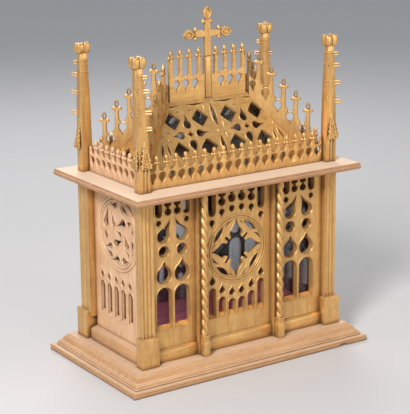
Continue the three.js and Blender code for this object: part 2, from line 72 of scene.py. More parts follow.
def tear(cx, cy, r, tx, ty, n=10):
    """A round end about (cx, cy), drawn out to a tip."""
    away = math.degrees(math.atan2(ty - cy, tx - cx))
    half = math.degrees(math.acos(min(0.85, r / math.hypot(tx - cx, ty - cy))))
    pts = arc(cx, cy, r, away + half, away + 360 - half, n)
    pull = 0.1
    a, b = pts[-1], pts[0]
    near = [((p[0] + tx) / 2 + pull * (cx - p[0]), (p[1] + ty) / 2 + pull * (cy - p[1])) for p in (a, b)]
    return pts + [near[0], (tx, ty), near[1]]


def slot(c, half, y0, y1, pinch=None):
    """A light open at the top rail, round at the foot; two cusps pinch its head."""
    sides = []
    if pinch:
        for y, k in ((pinch - 5, 1), (pinch - 2.2, 0.84), (pinch - 0.8, 0.5), (pinch + 1, 0.5),
                     (pinch + 2.2, 0.9), (pinch + 4, 1)):
            sides.append((half * k, y))
    right = [(c + w, y) for w, y in sides]
    left = [(c - w, y) for w, y in reversed(sides)]
    return arc(c, y0 + half, half, 180, 360, 8) + right + [(c + half, y1), (c - half, y1)] + left


def leaf(x0, y0, x1, y1, b0, b1, n=6):
    """A pointed leaf from one end to the other, bulging b0 to its left and b1 to its right."""
    dx, dy = x1 - x0, y1 - y0
    long = math.hypot(dx, dy)
    nx, ny = -dy / long, dx / long
    pts = []
    for b, order in ((-b1, range(n + 1)), (b0, range(n - 1, 0, -1))):
        for i in order:
            t = i / n
            w = 4 * b * t * (1 - t)
            pts.append((x0 + dx * t + nx * w, y0 + dy * t + ny * w))
    return pts


def moved(loop, dx=0.0, dy=0.0, turn=0.0, about=(0, 0), flip=False, s=1.0):
    out = []
    for x, y in loop:
        x, y = (x - about[0]) * s, (y - about[1]) * s
        if flip:
            x = -x
        x, y = x * cos(turn) - y * sin(turn), x * sin(turn) + y * cos(turn)
        out.append((x + about[0] + dx, y + about[1] + dy))
    return out[::-1] if flip else out


# %% Cutting a board
def alone(obj):
    bpy.ops.object.select_all(action="DESELECT")
    obj.select_set(True)
    bpy.context.view_layer.objects.active = obj


def pick(obj, test):
    """Selects the vertices whose places pass the test, and goes into edit mode."""
    alone(obj)
    mesh = obj.data
    co = np.empty(len(mesh.vertices) * 3)
    mesh.vertices.foreach_get("co", co)
    hit = test(*co.reshape(-1, 3).T)
    mesh.polygons.foreach_set("select", np.zeros(len(mesh.polygons), bool))
    mesh.edges.foreach_set("select", np.zeros(len(mesh.edges), bool))
    mesh.vertices.foreach_set("select", hit)
    bpy.ops.object.mode_set(mode="EDIT")
    bpy.ops.mesh.select_mode(type="VERT")
    return int(hit.sum())


def nudge(obj, test, dx=0.0, dy=0.0, dz=0.0):
    """Moves the vertices that pass the test by so many units, and counts them."""
    count = pick(obj, test)
    bpy.ops.transform.translate(value=(dx * U, dy * U, dz * U))
    bpy.ops.object.mode_set(mode="OBJECT")
    return count


def settle(obj):
    """Puts an object's place, turn and size into its mesh."""
    alone(obj)
    bpy.ops.object.transform_apply(location=True, rotation=True, scale=True)
    return obj


def drawn(name, loops, dimensions, cyclic=True):
    """A curve object of straight lines through (x, y) or (x, y, z) points in units."""
    data = bpy.data.curves.new(name, "CURVE")
    data.dimensions = dimensions
    for loop in loops:
        line = data.splines.new("POLY")
        line.points.add(len(loop) - 1)
        for point, place in zip(line.points, loop):
            x, y, z = (*place, 0.0)[:3]
            point.co = (x * U, y * U, z * U, 1)
        line.use_cyclic_u = cyclic
    obj = bpy.data.objects.new(name, data)
    bpy.context.collection.objects.link(obj)
    alone(obj)
    return data


def meshed():
    """Turns the active curve into a mesh."""
    bpy.ops.object.convert(target="MESH")
    return bpy.context.object


def flat(name, loops, extrude, bevel, offset=0.0):
    """A filled, extruded drawing, turned to mesh. It lies in XY with its middle at z = 0."""
    data = drawn(name, loops, "2D")
    data.fill_mode = "BOTH"
    data.extrude, data.bevel_depth = extrude * U, bevel * U
    data.offset, data.bevel_resolution = offset * U, 0
    obj = meshed()
    bpy.ops.object.mode_set(mode="EDIT")
    bpy.ops.mesh.select_all(action="SELECT")
    bpy.ops.mesh.remove_doubles(threshold=1e-6)
    bpy.ops.mesh.normals_make_consistent(inside=False)
    bpy.ops.object.mode_set(mode="OBJECT")
    return obj


def board(name, loops, thick, splay, neck, offset=0.0):
    """A pierced board, front at z = 0. Openings narrow by the splay down to the neck's depth.

    The bevelled curve has four levels. Each is moved to its own depth, by way of a place far below
    so that no level meets another on the way.
    """
    far = 1000
    obj = flat(name, loops, splay, splay, offset)
    old = [2 * splay, splay, -splay, -2 * splay]
    new = [0, -neck, -min(neck + 0.4, (neck + thick) / 2), -thick]
    for z0, z1 in zip(old, new):
        nudge(obj, lambda x, y, z: abs(z - z0 * U) < 1e-7, dz=z1 - z0 - far)
    nudge(obj, lambda x, y, z: z < 1, dz=far)
    return obj


def beads(loops, r, z):
    """A rounded rim run along each outline."""
    data = drawn("bead", [[(x, y, z) for x, y in loop] for loop in loops], "3D")
    data.bevel_depth, data.bevel_resolution = r * U, 1
    return meshed()


def stand(obj, turn, x, y, z=0.0, tilt=90.0):
    """Stands a board up, turns it about Z and puts its drawing's origin at (x, y, z) units."""
    obj.rotation_euler = (math.radians(tilt), 0, math.radians(turn))
    obj.location = (x * U, y * U, z * U)
    return settle(obj)


def ball(x, y, z, rx, ry, rz):
    bpy.ops.mesh.primitive_uv_sphere_add(segments=12, ring_count=7, radius=U,
                                         location=(x * U, y * U, z * U))
    obj = bpy.context.object
    obj.scale = (rx, ry, rz)
    return settle(obj)


def torus(x, y, r, w):
    bpy.ops.mesh.primitive_torus_add(major_segments=72, minor_segments=10, major_radius=r * U,
                                     minor_radius=w * U, location=(x * U, y * U, 0))
    return settle(bpy.context.object)


def twin(obj, name, turn=180.0, mirror=None):
    """A second piece with its own mesh, turned about Z or mirrored."""
    alone(obj)
    bpy.ops.object.duplicate()
    other = bpy.context.object
    other.name = other.data.name = name
    if mirror == "X":
        other.scale = (-1, 1, 1)
    else:
        other.rotation_euler = (0, 0, math.radians(turn))
    settle(other)
    if mirror:
        bpy.ops.object.mode_set(mode="EDIT")
        bpy.ops.mesh.select_all(action="SELECT")
        bpy.ops.mesh.normals_make_consistent(inside=False)
        bpy.ops.object.mode_set(mode="OBJECT")
    return other


def join(name, parts):
    bpy.ops.object.select_all(action="DESELECT")
    for part in parts:
        part.select_set(True)
    bpy.context.view_layer.objects.active = parts[0]
    bpy.ops.object.join()
    obj = bpy.context.object
    obj.name = obj.data.name = name
    return obj


made = []


def done(obj, slot_name, *nodes, angle=35):
    """Shades a finished piece, hangs it on the frame and hides the solids that it stands for."""
    alone(obj)
    bpy.ops.object.shade_smooth_by_angle(angle=math.radians(angle))
    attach(obj, "root")
    if nodes:
        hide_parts(*nodes)
    made.append(obj)
    return obj


# %% [markdown]
# ## The front and back walls
# Each narrow bay holds two round-headed lights, and above them stand drops: upright, inverted and
# leaning. The middle bay has six lights, a roundel with a star in it and six slots under the rail.
# The sills are pared to a steep slope so that dust falls off.

# %% Openings of the narrow bays
FACE = -76.5
THICK, SPLAY = 8.0, 2.9
WALL = THICK, SPLAY, THICK - 0.8
Z0, Z1 = 26.5, 260.2
SILL = 71.0


def bay(c):
    half = [
        light(14.5, 13.9, SILL, 133.6),
        tear(14.5, 149, 13.8, 14.5, 171),
        tear(14.5, 182.6, 9.6, 14.5, 171.8),
        tear(15, 204.4, 11.3, 3.8, 227.4),
    ]
    loops = []
    for h in half:
        loops += [moved(h, c), moved(h, c, flip=True)]
    for k in (-22.3, -7.4, 7.4, 22.3):
        if abs(k) > 10:
            loops += [slot(c + k, 6.7, 230.3, 256), tear(c + k, 223.6, 5.2, c + k, 217)]
        else:
            loops.append(slot(c + k, 6.7, 231.6, 256, pinch=243.5))
    return loops


def rect(x0, x1, y0, y1):
    return [(x0, y0), (x1, y0), (x1, y1), (x0, y1)]


def sills(obj, y=SILL, rise=3.0, splay=SPLAY):
    """Steepens the sills: lifts the lower edge of the lights at the neck."""
    return nudge(obj, lambda a, b, z: (b > (y + 0.5) * U) & (b < (y + splay + 0.6) * U) & (z < -U), dy=rise)


walls = {}
for name, x0, x1, c in (("left", -145.5, -74.1, -109.5), ("right", 67.1, 145.5, 103.4)):
    obj = board(f"wall_front_{name}", [rect(x0, x1, Z0, Z1), *bay(c)], *WALL)
    print(name, "sill vertices lifted:", sills(obj))
    walls[name] = join(f"wall_front_{name}", [obj, beads(bay(c), 1.45, -0.5)])

# %% Openings of the middle bay, and its roundel
ROSE = (-4.5, 167.5)
loops = [rect(-61.1, 54.1, Z0, Z1)]
feet = (217.8, 231.2, 234)
heads = (117, 102, 96.5)
for i in range(6):
    k = min(i, 5 - i)
    c = -45.7 + 16.6 * i
    loops.append(light(c, 7.2, SILL, heads[k], 8))
    loops.append(tear(c, heads[k] + 7.8, 5.7, c, heads[k] + 18.6 - (k == 2)))
    loops.append(slot(c, 7.2, feet[k], 256, pinch=(None, 244, 248)[k]))
    loops.append(tear(c, feet[k] - 7.6, 5.5, c, feet[k] - 16.6 + 1.2 * (k == 2)))
bead = beads(loops[1:], 1.3, -0.5)
loops.append(arc(*ROSE, 43.5, 0, 350, 35))
mid = board("wall_front_middle", loops, *WALL)
sills(mid)
side = [(43, 0), (36.5, 3), (30, 7), (25, 11.4), (21.4, 11.6), (17.6, 10.2), (16.4, 12.6), (18.6, 14.6),
        (20.6, 17.4), (19.4, 19.4), (17.4, 20.6), (14.6, 18.6), (12.6, 16.4), (10.2, 17.6), (11.6, 21.4),
        (11.4, 25), (7, 30), (3, 36.5)]
star = [p for q in range(4) for p in moved(side, turn=90 * q)]
quarter = [leaf(34.6, 21.6, 12, 38.6, 5.2, 4), leaf(41.8, 6, 28.6, 18.4, -0.4, 4.4),
           leaf(11.4, 31, 4.6, 40.6, 0.2, 2.6)]
whole = [star] + [moved(h, turn=90 * q) for q in range(4) for h in quarter]
loops = [arc(0, 0, 46.5, 0, 350, 35)] + whole
rose = board("rose_tracery", [moved(h, *ROSE) for h in loops], 6.2, 0.8, 4.2)
cusps = [ball(x, y, -0.8, 1.7, 1.7, 1.5) for q in range(4) for x, y in
         moved([(15.6, 11), (11, 15.6), (17.2, 10), (10, 17.2)], turn=90 * q)]
cusps = join("cusps", cusps + [beads(whole, 1.15, -0.5)])
cusps.location = (ROSE[0] * U, ROSE[1] * U, 0)
rose = join("rose_tracery", [rose, settle(cusps)])
rose.location.z = -0.9 * U
settle(rose)
rings = [torus(*ROSE, 48.2, 1.5), torus(*ROSE, 44.6, 1.3)]
mid = join("wall_front_middle", [mid, rose, bead, *rings])
print("middle wall faces:", len(mid.data.polygons))

walls["middle"] = mid
for name, obj in walls.items():
    stand(obj, 0, 0, FACE)
    back = twin(obj, f"wall_back_{name}")
    done(obj, "gilded_wood", f"panel_front_{name}")
    done(back, "gilded_wood", f"panel_back_{name}")

# %% [markdown]
# ## The side walls
# Each end wall has a wheel of whirling lights in a double ring, over five small drops and five
# lights. Its edges are pared less than the front's, so its board keeps more of a flat face.

# %% Side wheel and lights
whirl = [
    tear(-24.5, 206, 7.4, -17, 232), tear(-24.5, 188.5, 5.6, -31, 199), tear(-3.5, 209, 5.6, -10.5, 229),
    tear(1.5, 236, 5, -12.6, 235.4), tear(20.4, 234.6, 6.6, 40, 227.4), tear(21.5, 214.2, 7, 5, 207.6),
    tear(36, 217, 4.4, 45, 220.4), tear(45.6, 191, 3.8, 44.4, 171.5), tear(30.5, 184.5, 6.6, 24.5, 201),
    tear(1.5, 181.6, 6.6, 17.5, 189.5), tear(-12.5, 175.4, 5, -27, 171.6), tear(13.5, 196.8, 4, 2, 201.4),
    tear(-12, 162.8, 4.6, -27, 169.6), tear(5, 158.8, 6.4, -10, 156), tear(22, 161, 5.6, 34.4, 162.6),
    tear(33, 172.6, 3.4, 26.4, 177.4), tear(45.4, 207, 3, 46.2, 217),
]
WHEEL = (8, 197)
SIDE_SPLAY = 1.4
middle = lambda h: (sum(x for x, y in h) / len(h), sum(y for x, y in h) / len(h))
whirl = [moved(h, about=middle(h), s=1.08) for h in whirl]
loops = []
for i in range(5):
    c = -38.2 + 18.7 * i
    loops += [light(c, 7.4, SILL, 119.6, 8), tear(c, 127.4, 5.6, c - 2, 138.4)]
bead = beads(whirl + loops, 1.35, -0.5)
loops = [rect(-57.5, 70, Z0, Z1), *whirl, *loops]
left = board("wall_side_left", loops, THICK, SIDE_SPLAY, 3.8)
sills(left, rise=2.2, splay=SIDE_SPLAY)
rings = [torus(*WHEEL, 51.6, 2.6), torus(*WHEEL, 47.2, 2)]
left = join("wall_side_left", [left, bead, *rings])
stand(left, -90, -154.3, 0)
right = twin(left, "wall_side_right", mirror="X")
done(left, "pale_gilding", "panel_side_left")
done(right, "pale_gilding", "panel_side_right")
print("side wall faces:", len(left.data.polygons))

# %% [markdown]
# ## Base, posts and cornice
# These are planed boards with run mouldings. A plane is set to the profile and pushed along the edge,
# so each piece is one plan carried through a few heights, with its arrises rubbed by handling.

# %% Runs of mouldings
def tower(name, sections, soften=0.35):
    """A block carried up through level rectangles: z, x0, x1, y0, y1 in units."""
    z, x0, x1, y0, y1 = sections[0]
    bpy.ops.mesh.primitive_plane_add(size=U, location=((x0 + x1) / 2 * U, (y0 + y1) / 2 * U, z * U))
    obj = bpy.context.object
    obj.name = obj.data.name = name
    obj.scale = (x1 - x0, y1 - y0, 1)
    settle(obj)
    bpy.ops.object.mode_set(mode="EDIT")
    bpy.ops.mesh.select_all(action="SELECT")
    for nz, a0, a1, b0, b1 in sections[1:]:
        shift = (((a0 + a1) - (x0 + x1)) / 2 * U, ((b0 + b1) - (y0 + y1)) / 2 * U, (nz - z) * U)
        bpy.ops.mesh.extrude_region_move(TRANSFORM_OT_translate={"value": shift})
        middle = ((a0 + a1) / 2 * U, (b0 + b1) / 2 * U, nz * U)
        bpy.ops.transform.resize(value=((a1 - a0) / (x1 - x0), (b1 - b0) / (y1 - y0), 1),
                                 center_override=middle)
        z, x0, x1, y0, y1 = nz, a0, a1, b0, b1
    bpy.ops.mesh.select_all(action="SELECT")
    bpy.ops.mesh.normals_make_consistent(inside=False)
    bpy.ops.object.mode_set(mode="OBJECT")
    if soften:
        edge = obj.modifiers.new("arris", "BEVEL")
        edge.width, edge.segments, edge.limit_method = soften * U, 2, "ANGLE"
        bpy.ops.object.modifier_apply(modifier="arris")
    return obj


def apply_all(obj):
    alone(obj)
    for m in [m.name for m in obj.modifiers]:
        bpy.ops.object.modifier_apply(modifier=m)


def worn(obj, grid, strength, size=0.02):
    """Uneven, rubbed faces: cuts the faces into a grid and pushes them about a little."""
    alone(obj)
    bpy.ops.object.mode_set(mode="EDIT")
    for axis in range(3):
        lo = min(v.co[axis] for v in obj.data.vertices)
        hi = max(v.co[axis] for v in obj.data.vertices)
        for k in range(1, int((hi - lo) / (grid * U))):
            bpy.ops.mesh.select_all(action="SELECT")
            normal = [0, 0, 0]
            normal[axis] = 1
            place = [0, 0, 0]
            place[axis] = lo + k * grid * U
            bpy.ops.mesh.bisect(plane_co=place, plane_no=normal)
    bpy.ops.object.mode_set(mode="OBJECT")
    clouds = bpy.data.textures.new(obj.name, "CLOUDS")
    clouds.noise_scale, clouds.noise_depth = size, 3
    push = obj.modifiers.new("wear", "DISPLACE")
    push.texture, push.strength, push.mid_level = clouds, strength * U, 0.5
    push.texture_coords = "LOCAL"
    bpy.ops.object.modifier_apply(modifier="wear")


def ring(z, w, half_x=200.0, half_y=118.4):
    return (z, w - half_x, half_x - w, w - half_y, half_y - w)


slab = tower("base_slab_board", [ring(0, 0.5), ring(1.2, 0), ring(4.9, 0), ring(5.1, 0.7), ring(5.7, 0.7),
                                 ring(5.9, 0), ring(7.6, 0), ring(8.6, 1)], 0.2)
worn(slab, 6, 0.8)
chip = nudge(slab, lambda x, y, z: (abs(x - 0.194) < 0.008) & (y < -0.143) & (z < 0.005), dy=2.08, dz=1.2)
print("vertices in the slab's chip:", chip)
done(slab, "pale_gilding", "base_slab")
profile = [(8.9, 6.8), (10.4, 6.8), (10.5, 8.4), (14.4, 8.6), (14.5, 10), (16.2, 10.2), (16.3, 12.2),
           (17.4, 13), (19, 13.8), (21, 14.8), (22.8, 16.2), (22.9, 17.8), (24.6, 18), (24.7, 19.6),
           (26.1, 19.9), (26.2, 22.4)]
moulding = tower("base_cove_moulding", [ring(z, w) for z, w in profile], 0.12)
worn(moulding, 8, 0.3, 0.03)
done(moulding, "pale_gilding", "base_moulding", angle=22)

nosing = [(260.5, 3.4), (261, 1.8), (262.4, 0.6), (264.4, 0), (266.4, 0.3), (266.6, 1.2), (267.1, 1.2),
          (267.3, 0.6), (269, 0.9), (270, 1.9)]
cornice = tower("cornice", [ring(z, w, 187.4, 113.4) for z, w in nosing], 0)
worn(cornice, 8, 0.35, 0.03)
done(cornice, "pale_gilding", "cornice_board", angle=28)
print("base and cornice faces:", sum(len(o.data.polygons) for o in (slab, moulding, cornice)))

# %% Posts, mullions and sills
def prism(name, loop, z0, z1):
    obj = flat(name, [loop], (z1 - z0) / 2, 0)
    obj.location.z = (z0 + z1) / 2 * U
    return settle(obj)


def fluted(x0, x1, y0, y1, n, deep=1.5, rim=0.8):
    """Plan of a shaft whose outer face at y0 has n hollow flutes."""
    pitch = (x1 - x0 - 2 * rim) / n
    loop = [(x1, y1), (x0, y1), (x0, y0)]
    for i in range(n):
        a = x0 + rim + pitch * i
        loop += [(a + pitch * (0.14 + 0.72 * t / 6), y0 + deep * sin(180 * t / 6)) for t in range(7)]
    return loop + [(x1, y0)]


shaft = prism("shaft", fluted(-164.9, -145.5, -84.7, -70, 3), 60, 260.2)
block = tower("block", [(26.5, -169.5, -142.4, -90.6, -74.2), (67.2, -169.5, -142.4, -90.6, -74.2),
                        (68.4, -168.4, -143.4, -89.6, -74.2)])
worn(block, 7, 0.5)
post = join("post_front_left_carved", [block, shaft])
other = twin(post, "post_front_right_carved", mirror="X")
done(post, "gilded_wood", "post_front_left")
done(other, "gilded_wood", "post_front_right")

plan = [(-145.5, 57.5), (-145.5, 83.5), (-164.9, 83.5), (-164.9, 71.4), (-164.2, 70.2), (-163.2, 69.3),
        (-164.2, 68.4), (-164.9, 67.2), (-164.9, 57.5)]
shaft = prism("shaft", plan, 60, 260.2)
block = tower("block", [(26.5, -169.5, -142.4, 62, 89), (67.2, -169.5, -142.4, 62, 89),
                        (68.4, -168.4, -143.4, 63, 88)])
worn(block, 7, 0.5)
post = join("post_back_left_carved", [block, shaft])
other = twin(post, "post_back_right_carved", mirror="X")
done(post, "gilded_wood", "post_back_left")
done(other, "gilded_wood", "post_back_right")

for side, x0, x1 in (("left", -74.1, -61.1), ("right", 54.1, 67.1)):
    front = tower(f"mullion_board_{side}", [(26.5, x0, x1, -84.7, -69), (260.2, x0, x1, -84.7, -69)], 0.5)
    back = twin(front, f"mullion_board_back_{side}")
    done(front, "gilded_wood", f"mullion_front_{side}")
    done(back, "gilded_wood", f"mullion_back_{side}")

for side, x0, x1 in (("left", -145.5, -74.1), ("middle", -61.1, 54.1), ("right", 67.1, 145.5)):
    ledge = [(26.5, x0, x1, -81, -76.7), (41.6, x0, x1, -81, -76.7), (42.4, x0, x1, -80.6, -76.7),
             (45.4, x0, x1, -77.4, -76.7)]
    front = tower(f"sill_board_{side}", ledge, 0.2)
    back = twin(front, f"sill_board_back_{side}")
    done(front, "gilded_wood", f"sill_front_{side}")
    done(back, "gilded_wood", f"sill_back_{side}")
ledge = [(26.5, -165, -154.5, -70, 57.5), (42.2, -165, -154.5, -70, 57.5), (43, -164.6, -154.5, -70, 57.5),
         (46, -156, -154.5, -70, 57.5)]
side_sill = tower("sill_board_side_left", ledge, 0.2)
other = twin(side_sill, "sill_board_side_right", mirror="X")
done(side_sill, "pale_gilding", "sill_side_left")
done(other, "pale_gilding", "sill_side_right")

# %% [markdown]
# ## Twisted colonnettes
# Two round strands wind about each other like rope. On the real piece they are cut in a turned dowel
# with a rasp, so the two strands and the core are melted into one skin here.

# %% Colonnettes
def rope(x, y, z0, z1, strands=2, pitch=29.2, r=3.25, off=2.2):
    """Left-handed strands round (x, y), melted into one skin."""
    parts = []
    n = int((z1 - z0) / 2.0)
    for s in range(strands):
        path = []
        for k in range(n + 1):
            z = z0 + (z1 - z0) * k / n
            a = -360 * z / pitch + 360 * s / strands
            path.append((x + off * cos(a), y + off * sin(a), z))
        data = drawn("strand", [path], "3D", cyclic=False)
        data.bevel_depth, data.bevel_resolution, data.use_fill_caps = r * U, 3, True
        parts.append(meshed())
    obj = join("rope", parts)
    skin = obj.modifiers.new("skin", "REMESH")
    skin.mode, skin.voxel_size = "VOXEL", 0.0008
    ease = obj.modifiers.new("ease", "SMOOTH")
    ease.factor, ease.iterations = 0.5, 1
    apply_all(obj)
    return obj


for side, c in (("left", -67.6), ("right", 60.6)):
    y = -90.6
    foot = tower("foot", [(26.5, c - 5, c + 5, -96, -85), (46, c - 5, c + 5, -96, -85),
                          (47, c - 4.4, c + 4.4, -95.2, -85), (53, c - 4.2, c + 4.2, -95, -85),
                          (54, c - 5, c + 5, -95.6, -85), (56.2, c - 5, c + 5, -95.6, -85)], 0.25)
    column = join(f"twisted_colonnette_{side}", [foot, rope(c, y, 55.5, 260.2)])
    done(column, "pale_gilding", f"colonnette_{side}", angle=50)
    print("colonnette", side, "faces:", len(column.data.polygons))

# %% [markdown]
# ## Cresting
# Each gallery is one sawn board: a plain rail, a row of drops, then slots with a three-lobed finial
# between each pair. The saw leaves square edges, which the gilder's ground rounds over.

# %% Galleries
def finial(c, foot, neck, tip):
    """Right-hand to left-hand outline of a shaft that ends in a small collar and a stem."""
    half = [(3.1, foot), (3, neck - 1.4), (4, neck - 0.6), (4, neck + 0.4), (2, neck + 1.4), (1.4, tip - 3)]
    return [(c + w, y) for w, y in half] + [(c - w, y) for w, y in reversed(half)]


def bud(c, neck, tip, deep=2.4):
    """A three-lobed bud round the stem of a finial."""
    top = (tip - neck - 4.4) / 2
    return [ball(c - 3.2, neck + 2.6, -deep, 2.6, 2.5, 2.5), ball(c + 3.2, neck + 2.6, -deep, 2.6, 2.5, 2.5),
            ball(c, neck + 2.6, -deep + 1.4, 2.3, 2.4, 2.1),
            ball(c, tip - top - 0.2, -deep, 3.1, top + 0.5, 2.8)]


def gallery(name, half, bays, pitch, z0=269.9, hole=279.2, low=295.4, neck=303.6, tip=316):
    """Drops and slots at the bays' centres; finials between them; half finials become end strips."""
    outline = [(-half, z0), (half, z0), (half, neck + 3)]
    loops, buds = [], []
    for i in reversed(range(bays)):
        c = (i - (bays - 1) / 2) * pitch
        w = pitch / 2 - 3.1
        if i == bays - 1:
            outline += [(c + w, neck + 3)]
        outline += arc(c, low + w, w, 0, -180, 6) + [(c - w, low + w + 1)]
        if i:
            outline += finial(c - pitch / 2, low + w + 2, neck, tip)
            buds += bud(c - pitch / 2, neck, tip)
        loops.append(tear(c, 287.6, 5.2, c, hole, 9))
    outline += [(-(bays - 1) / 2 * pitch - w, neck + 3), (-half, neck + 3)]
    return join(name, [board(name, [outline, *loops], 4.8, 1.15, 2.2, offset=-1.15), *buds])


front = gallery("cresting_front", 146.6, 19, 15.4)
stand(front, 0, 0, -75)
back = twin(front, "cresting_back")
side = gallery("cresting_left", 69.4, 9, 15.2)
stand(side, -90, -153.5, 0)
other = twin(side, "cresting_right")
done(front, "gilded_wood", "gallery_front")
done(back, "gilded_wood", "gallery_back")
done(side, "pale_gilding", "gallery_left")
done(other, "pale_gilding", "gallery_right")
print("front cresting faces:", len(front.data.polygons))

# %% Ridge crest
def ridge(name, tips, x0, x1):
    outline = [(x0, 366.5), (x1, 366.5), (x1, 427)]
    loops, buds = [], []
    for f in reversed(tips):
        outline += finial(f, 424, 427, 440)
        buds += bud(f, 427, 440, 2.5)
        if f != tips[0]:
            c, w = f - 7.6, 4.6
            outline += [(c + w, 412)] + arc(c, 402 + w, w, 0, -180, 6)
            loops.append(tear(c, 392.2, 4.9, c, 383.6, 9))
    c = tips[0] - 5.4
    outline += arc(c, 404, 2.2, 0, -180, 4) + [(c - 2.2, 427), (x0, 427)]
    return join(name, [board(name, [outline, *loops], 5, 1.1, 2.4, offset=-1.1), *buds])


for side, turn in (("right", 0), ("left", 180)):
    piece = ridge(f"ridge_cresting_{side}", (14.2, 29.5, 44.8, 60.1), 4.8, 64.8)
    stand(piece, turn, 0, 2.5 if turn else -2.5)
    done(piece, "gilded_wood", f"crest_ridge_{side}")

# %% Hip crests
HIP_X, FALL = 66, 0.981


def hip_crest(name):
    """The board stands on the hip; its drawing steps down the slope bay by bay."""
    top = lambda u: 371 - FALL * u
    outline = [(4, top(4) - 6), (97, max(270.2, top(97) - 6)), (97, top(97) + 8)]
    loops, buds = [], []
    for k in range(4, -1, -1):
        s, z = 18.7 + 17.57 * k, 424 - 17.35 * k
        base = top(s)
        outline += [(s + 7, base + 27), (s + 4.4, base + 28.5), (s + 3.2, base + 33)]
        outline += [(s + 3, z - 15.5), (s + 4.4, z - 14.6)] + arc(s + 5, z - 12, 2.4, -80, 100, 4)
        outline += [(s + 2.3, z - 9), (s + 3.5, z - 6), (s + 2.6, z - 2.5), (s, z)]
        outline += [(s - 2.6, z - 2.5), (s - 3.5, z - 6), (s - 2.3, z - 9)]
        outline += arc(s - 5, z - 12, 2.4, 80, 260, 4) + [(s - 4.4, z - 14.6), (s - 3, z - 15.5)]
        outline += [(s - 3.2, base + 47)]
        buds += [ball(s - 5, z - 12, -2.3, 2.5, 2.4, 2.4), ball(s + 5, z - 12, -2.3, 2.5, 2.4, 2.4),
                 ball(s, z - 12.6, -1.2, 2, 2.4, 1.9), ball(s, z - 1.6, -2.3, 1.6, 2, 1.8)]
        loops.append(leaf(s, z - 9.5, s, z - 3, 1.5, 1.5, 4))
        if k:
            c = s - 8.8
            outline += arc(c, base + 45, 5.2, -10, -120, 5)
            loops.append(tear(c + 0.6, top(c) + 24.4, 5.4, c + 1.4, top(c) + 14.6, 9))
    outline += [(14.6, top(14.6) + 34), (12.6, top(12.6) + 28), (4, top(4) + 28)]
    loops.append(tear(9.6, top(9.6) + 19.4, 3.9, 10.4, top(10.4) + 11))
    return join(name, [board(name, [outline, *loops], 4.6, 0.9, 2, offset=-0.9), *buds])


for name, sx, sy in (("front_right", 1, -1), ("front_left", -1, -1), ("back_right", 1, 1),
                     ("back_left", -1, 1)):
    turn = math.degrees(math.atan2(sy * 66.3, sx * 80))
    piece = hip_crest(f"hip_cresting_{name}")
    stand(piece, turn, sx * HIP_X + 2.3 * sin(turn), -2.3 * cos(turn))
    done(piece, "gilded_wood", f"crest_hip_{name}")
print("hip crest faces:", len(piece.data.polygons))

# %% [markdown]
# ## The openwork roof
# Four sloping boards meet under the crests. Ribs spread from stars and cross, and the openings between
# them are lozenges with curved sides, drops and small three-pointed eyes.

# %% Roof boards
def lozenge(cx, cy, w, h, bulge=1.6):
    pts = [(cx, cy + h), (cx - w, cy), (cx, cy - h), (cx + w, cy)]
    loop = []
    for (x0, y0), (x1, y1) in zip(pts, pts[1:] + pts[:1]):
        for t in (0, 0.25, 0.5, 0.75):
            k = 4 * t * (1 - t) * bulge / math.hypot(w, h)
            mx, my = x0 + (x1 - x0) * t, y0 + (y1 - y0) * t
            loop.append((mx + (mx - cx) * k, my + (my - cy) * k))
    return loop


def eye(cx, cy, r, turn):
    pts = []
    for k in range(3):
        a = turn + 120 * k
        pts += [(cx + r * cos(a), cy + r * sin(a)), (cx + r * 0.42 * cos(a + 22), cy + r * 0.42 * sin(a + 22)),
                (cx + r * 0.3 * cos(a + 60), cy + r * 0.3 * sin(a + 60)),
                (cx + r * 0.42 * cos(a + 98), cy + r * 0.42 * sin(a + 98))]
    return pts


def half_roof(up):
    """The openings right of the middle, in (x, distance from the line of stars); up is 1 or -1."""
    shapes = [
        lozenge(23.8, 22, 15, 14.4), lozenge(69.8, 22, 13.8, 14.4), tear(47.2, 14.6, 7.2, 47.2, 31),
        eye(37.9, 34.8, 5, 90), eye(56.3, 34.8, 5, 90), eye(10.6, 35, 4.8, 60), eye(12, 8, 4.6, 0),
        eye(82.4, 6.6, 4.8, 60),
    ]
    if up == 1:
        shapes.append([(3.4, 44), (3.4, 42.8), (14, 42), (26, 40.4), (34, 42), (43, 44)])
        shapes.append([(51, 44), (57, 42.2), (64, 41), (69.4, 42.4), (69.4, 44)])
    else:
        shapes += [tear(x, 51, 5.6, x, 40) for x in (24, 47.2, 70, 94)]
    return [[(x, y * up) for x, y in h][::up] for h in shapes]


def roof_front(name):
    line = -53.0
    slope = 120.4
    edge = lambda v: 66 - 0.667 * v
    loops = []
    for sign in (1, -1):
        for h in half_roof(sign):
            if all(abs(x) < edge(line + y) - 1.6 for x, y in h):
                loops += [moved(h, 0, line), moved(h, 0, line, flip=True)]
        loops.append(leaf(0, line + 5 * sign, 0, line + 42 * sign, 4.4, 4.4))
    for side in (1, -1):
        loops += [tear(side * 32.2, line, 6.6, side * 17, line), tear(side * 62.4, line, 6.6, side * 78, line),
                  lozenge(side * 47.4, line, 6.4, 5.8, -1.4),
                  leaf(side * 96, line - 8, side * 103.5, line - 28, 2.6, 2.6),
                  leaf(side * 89.5, line - 9, side * 89, line - 30, 2.4, 2.4)]
    outline = [(-edge(-slope + 3), -slope + 3), (edge(-slope + 3), -slope + 3), (edge(-2.5), -2.5),
               (-edge(-2.5), -2.5)]
    stars = [ball(x, line, -0.4, 2.6, 2.6, 1.6) for x in (-94, 0, 94)]
    return join(name, [board(name, [outline, *loops], 4, 1.5, 3), beads(loops, 1.2, -0.4), *stars])


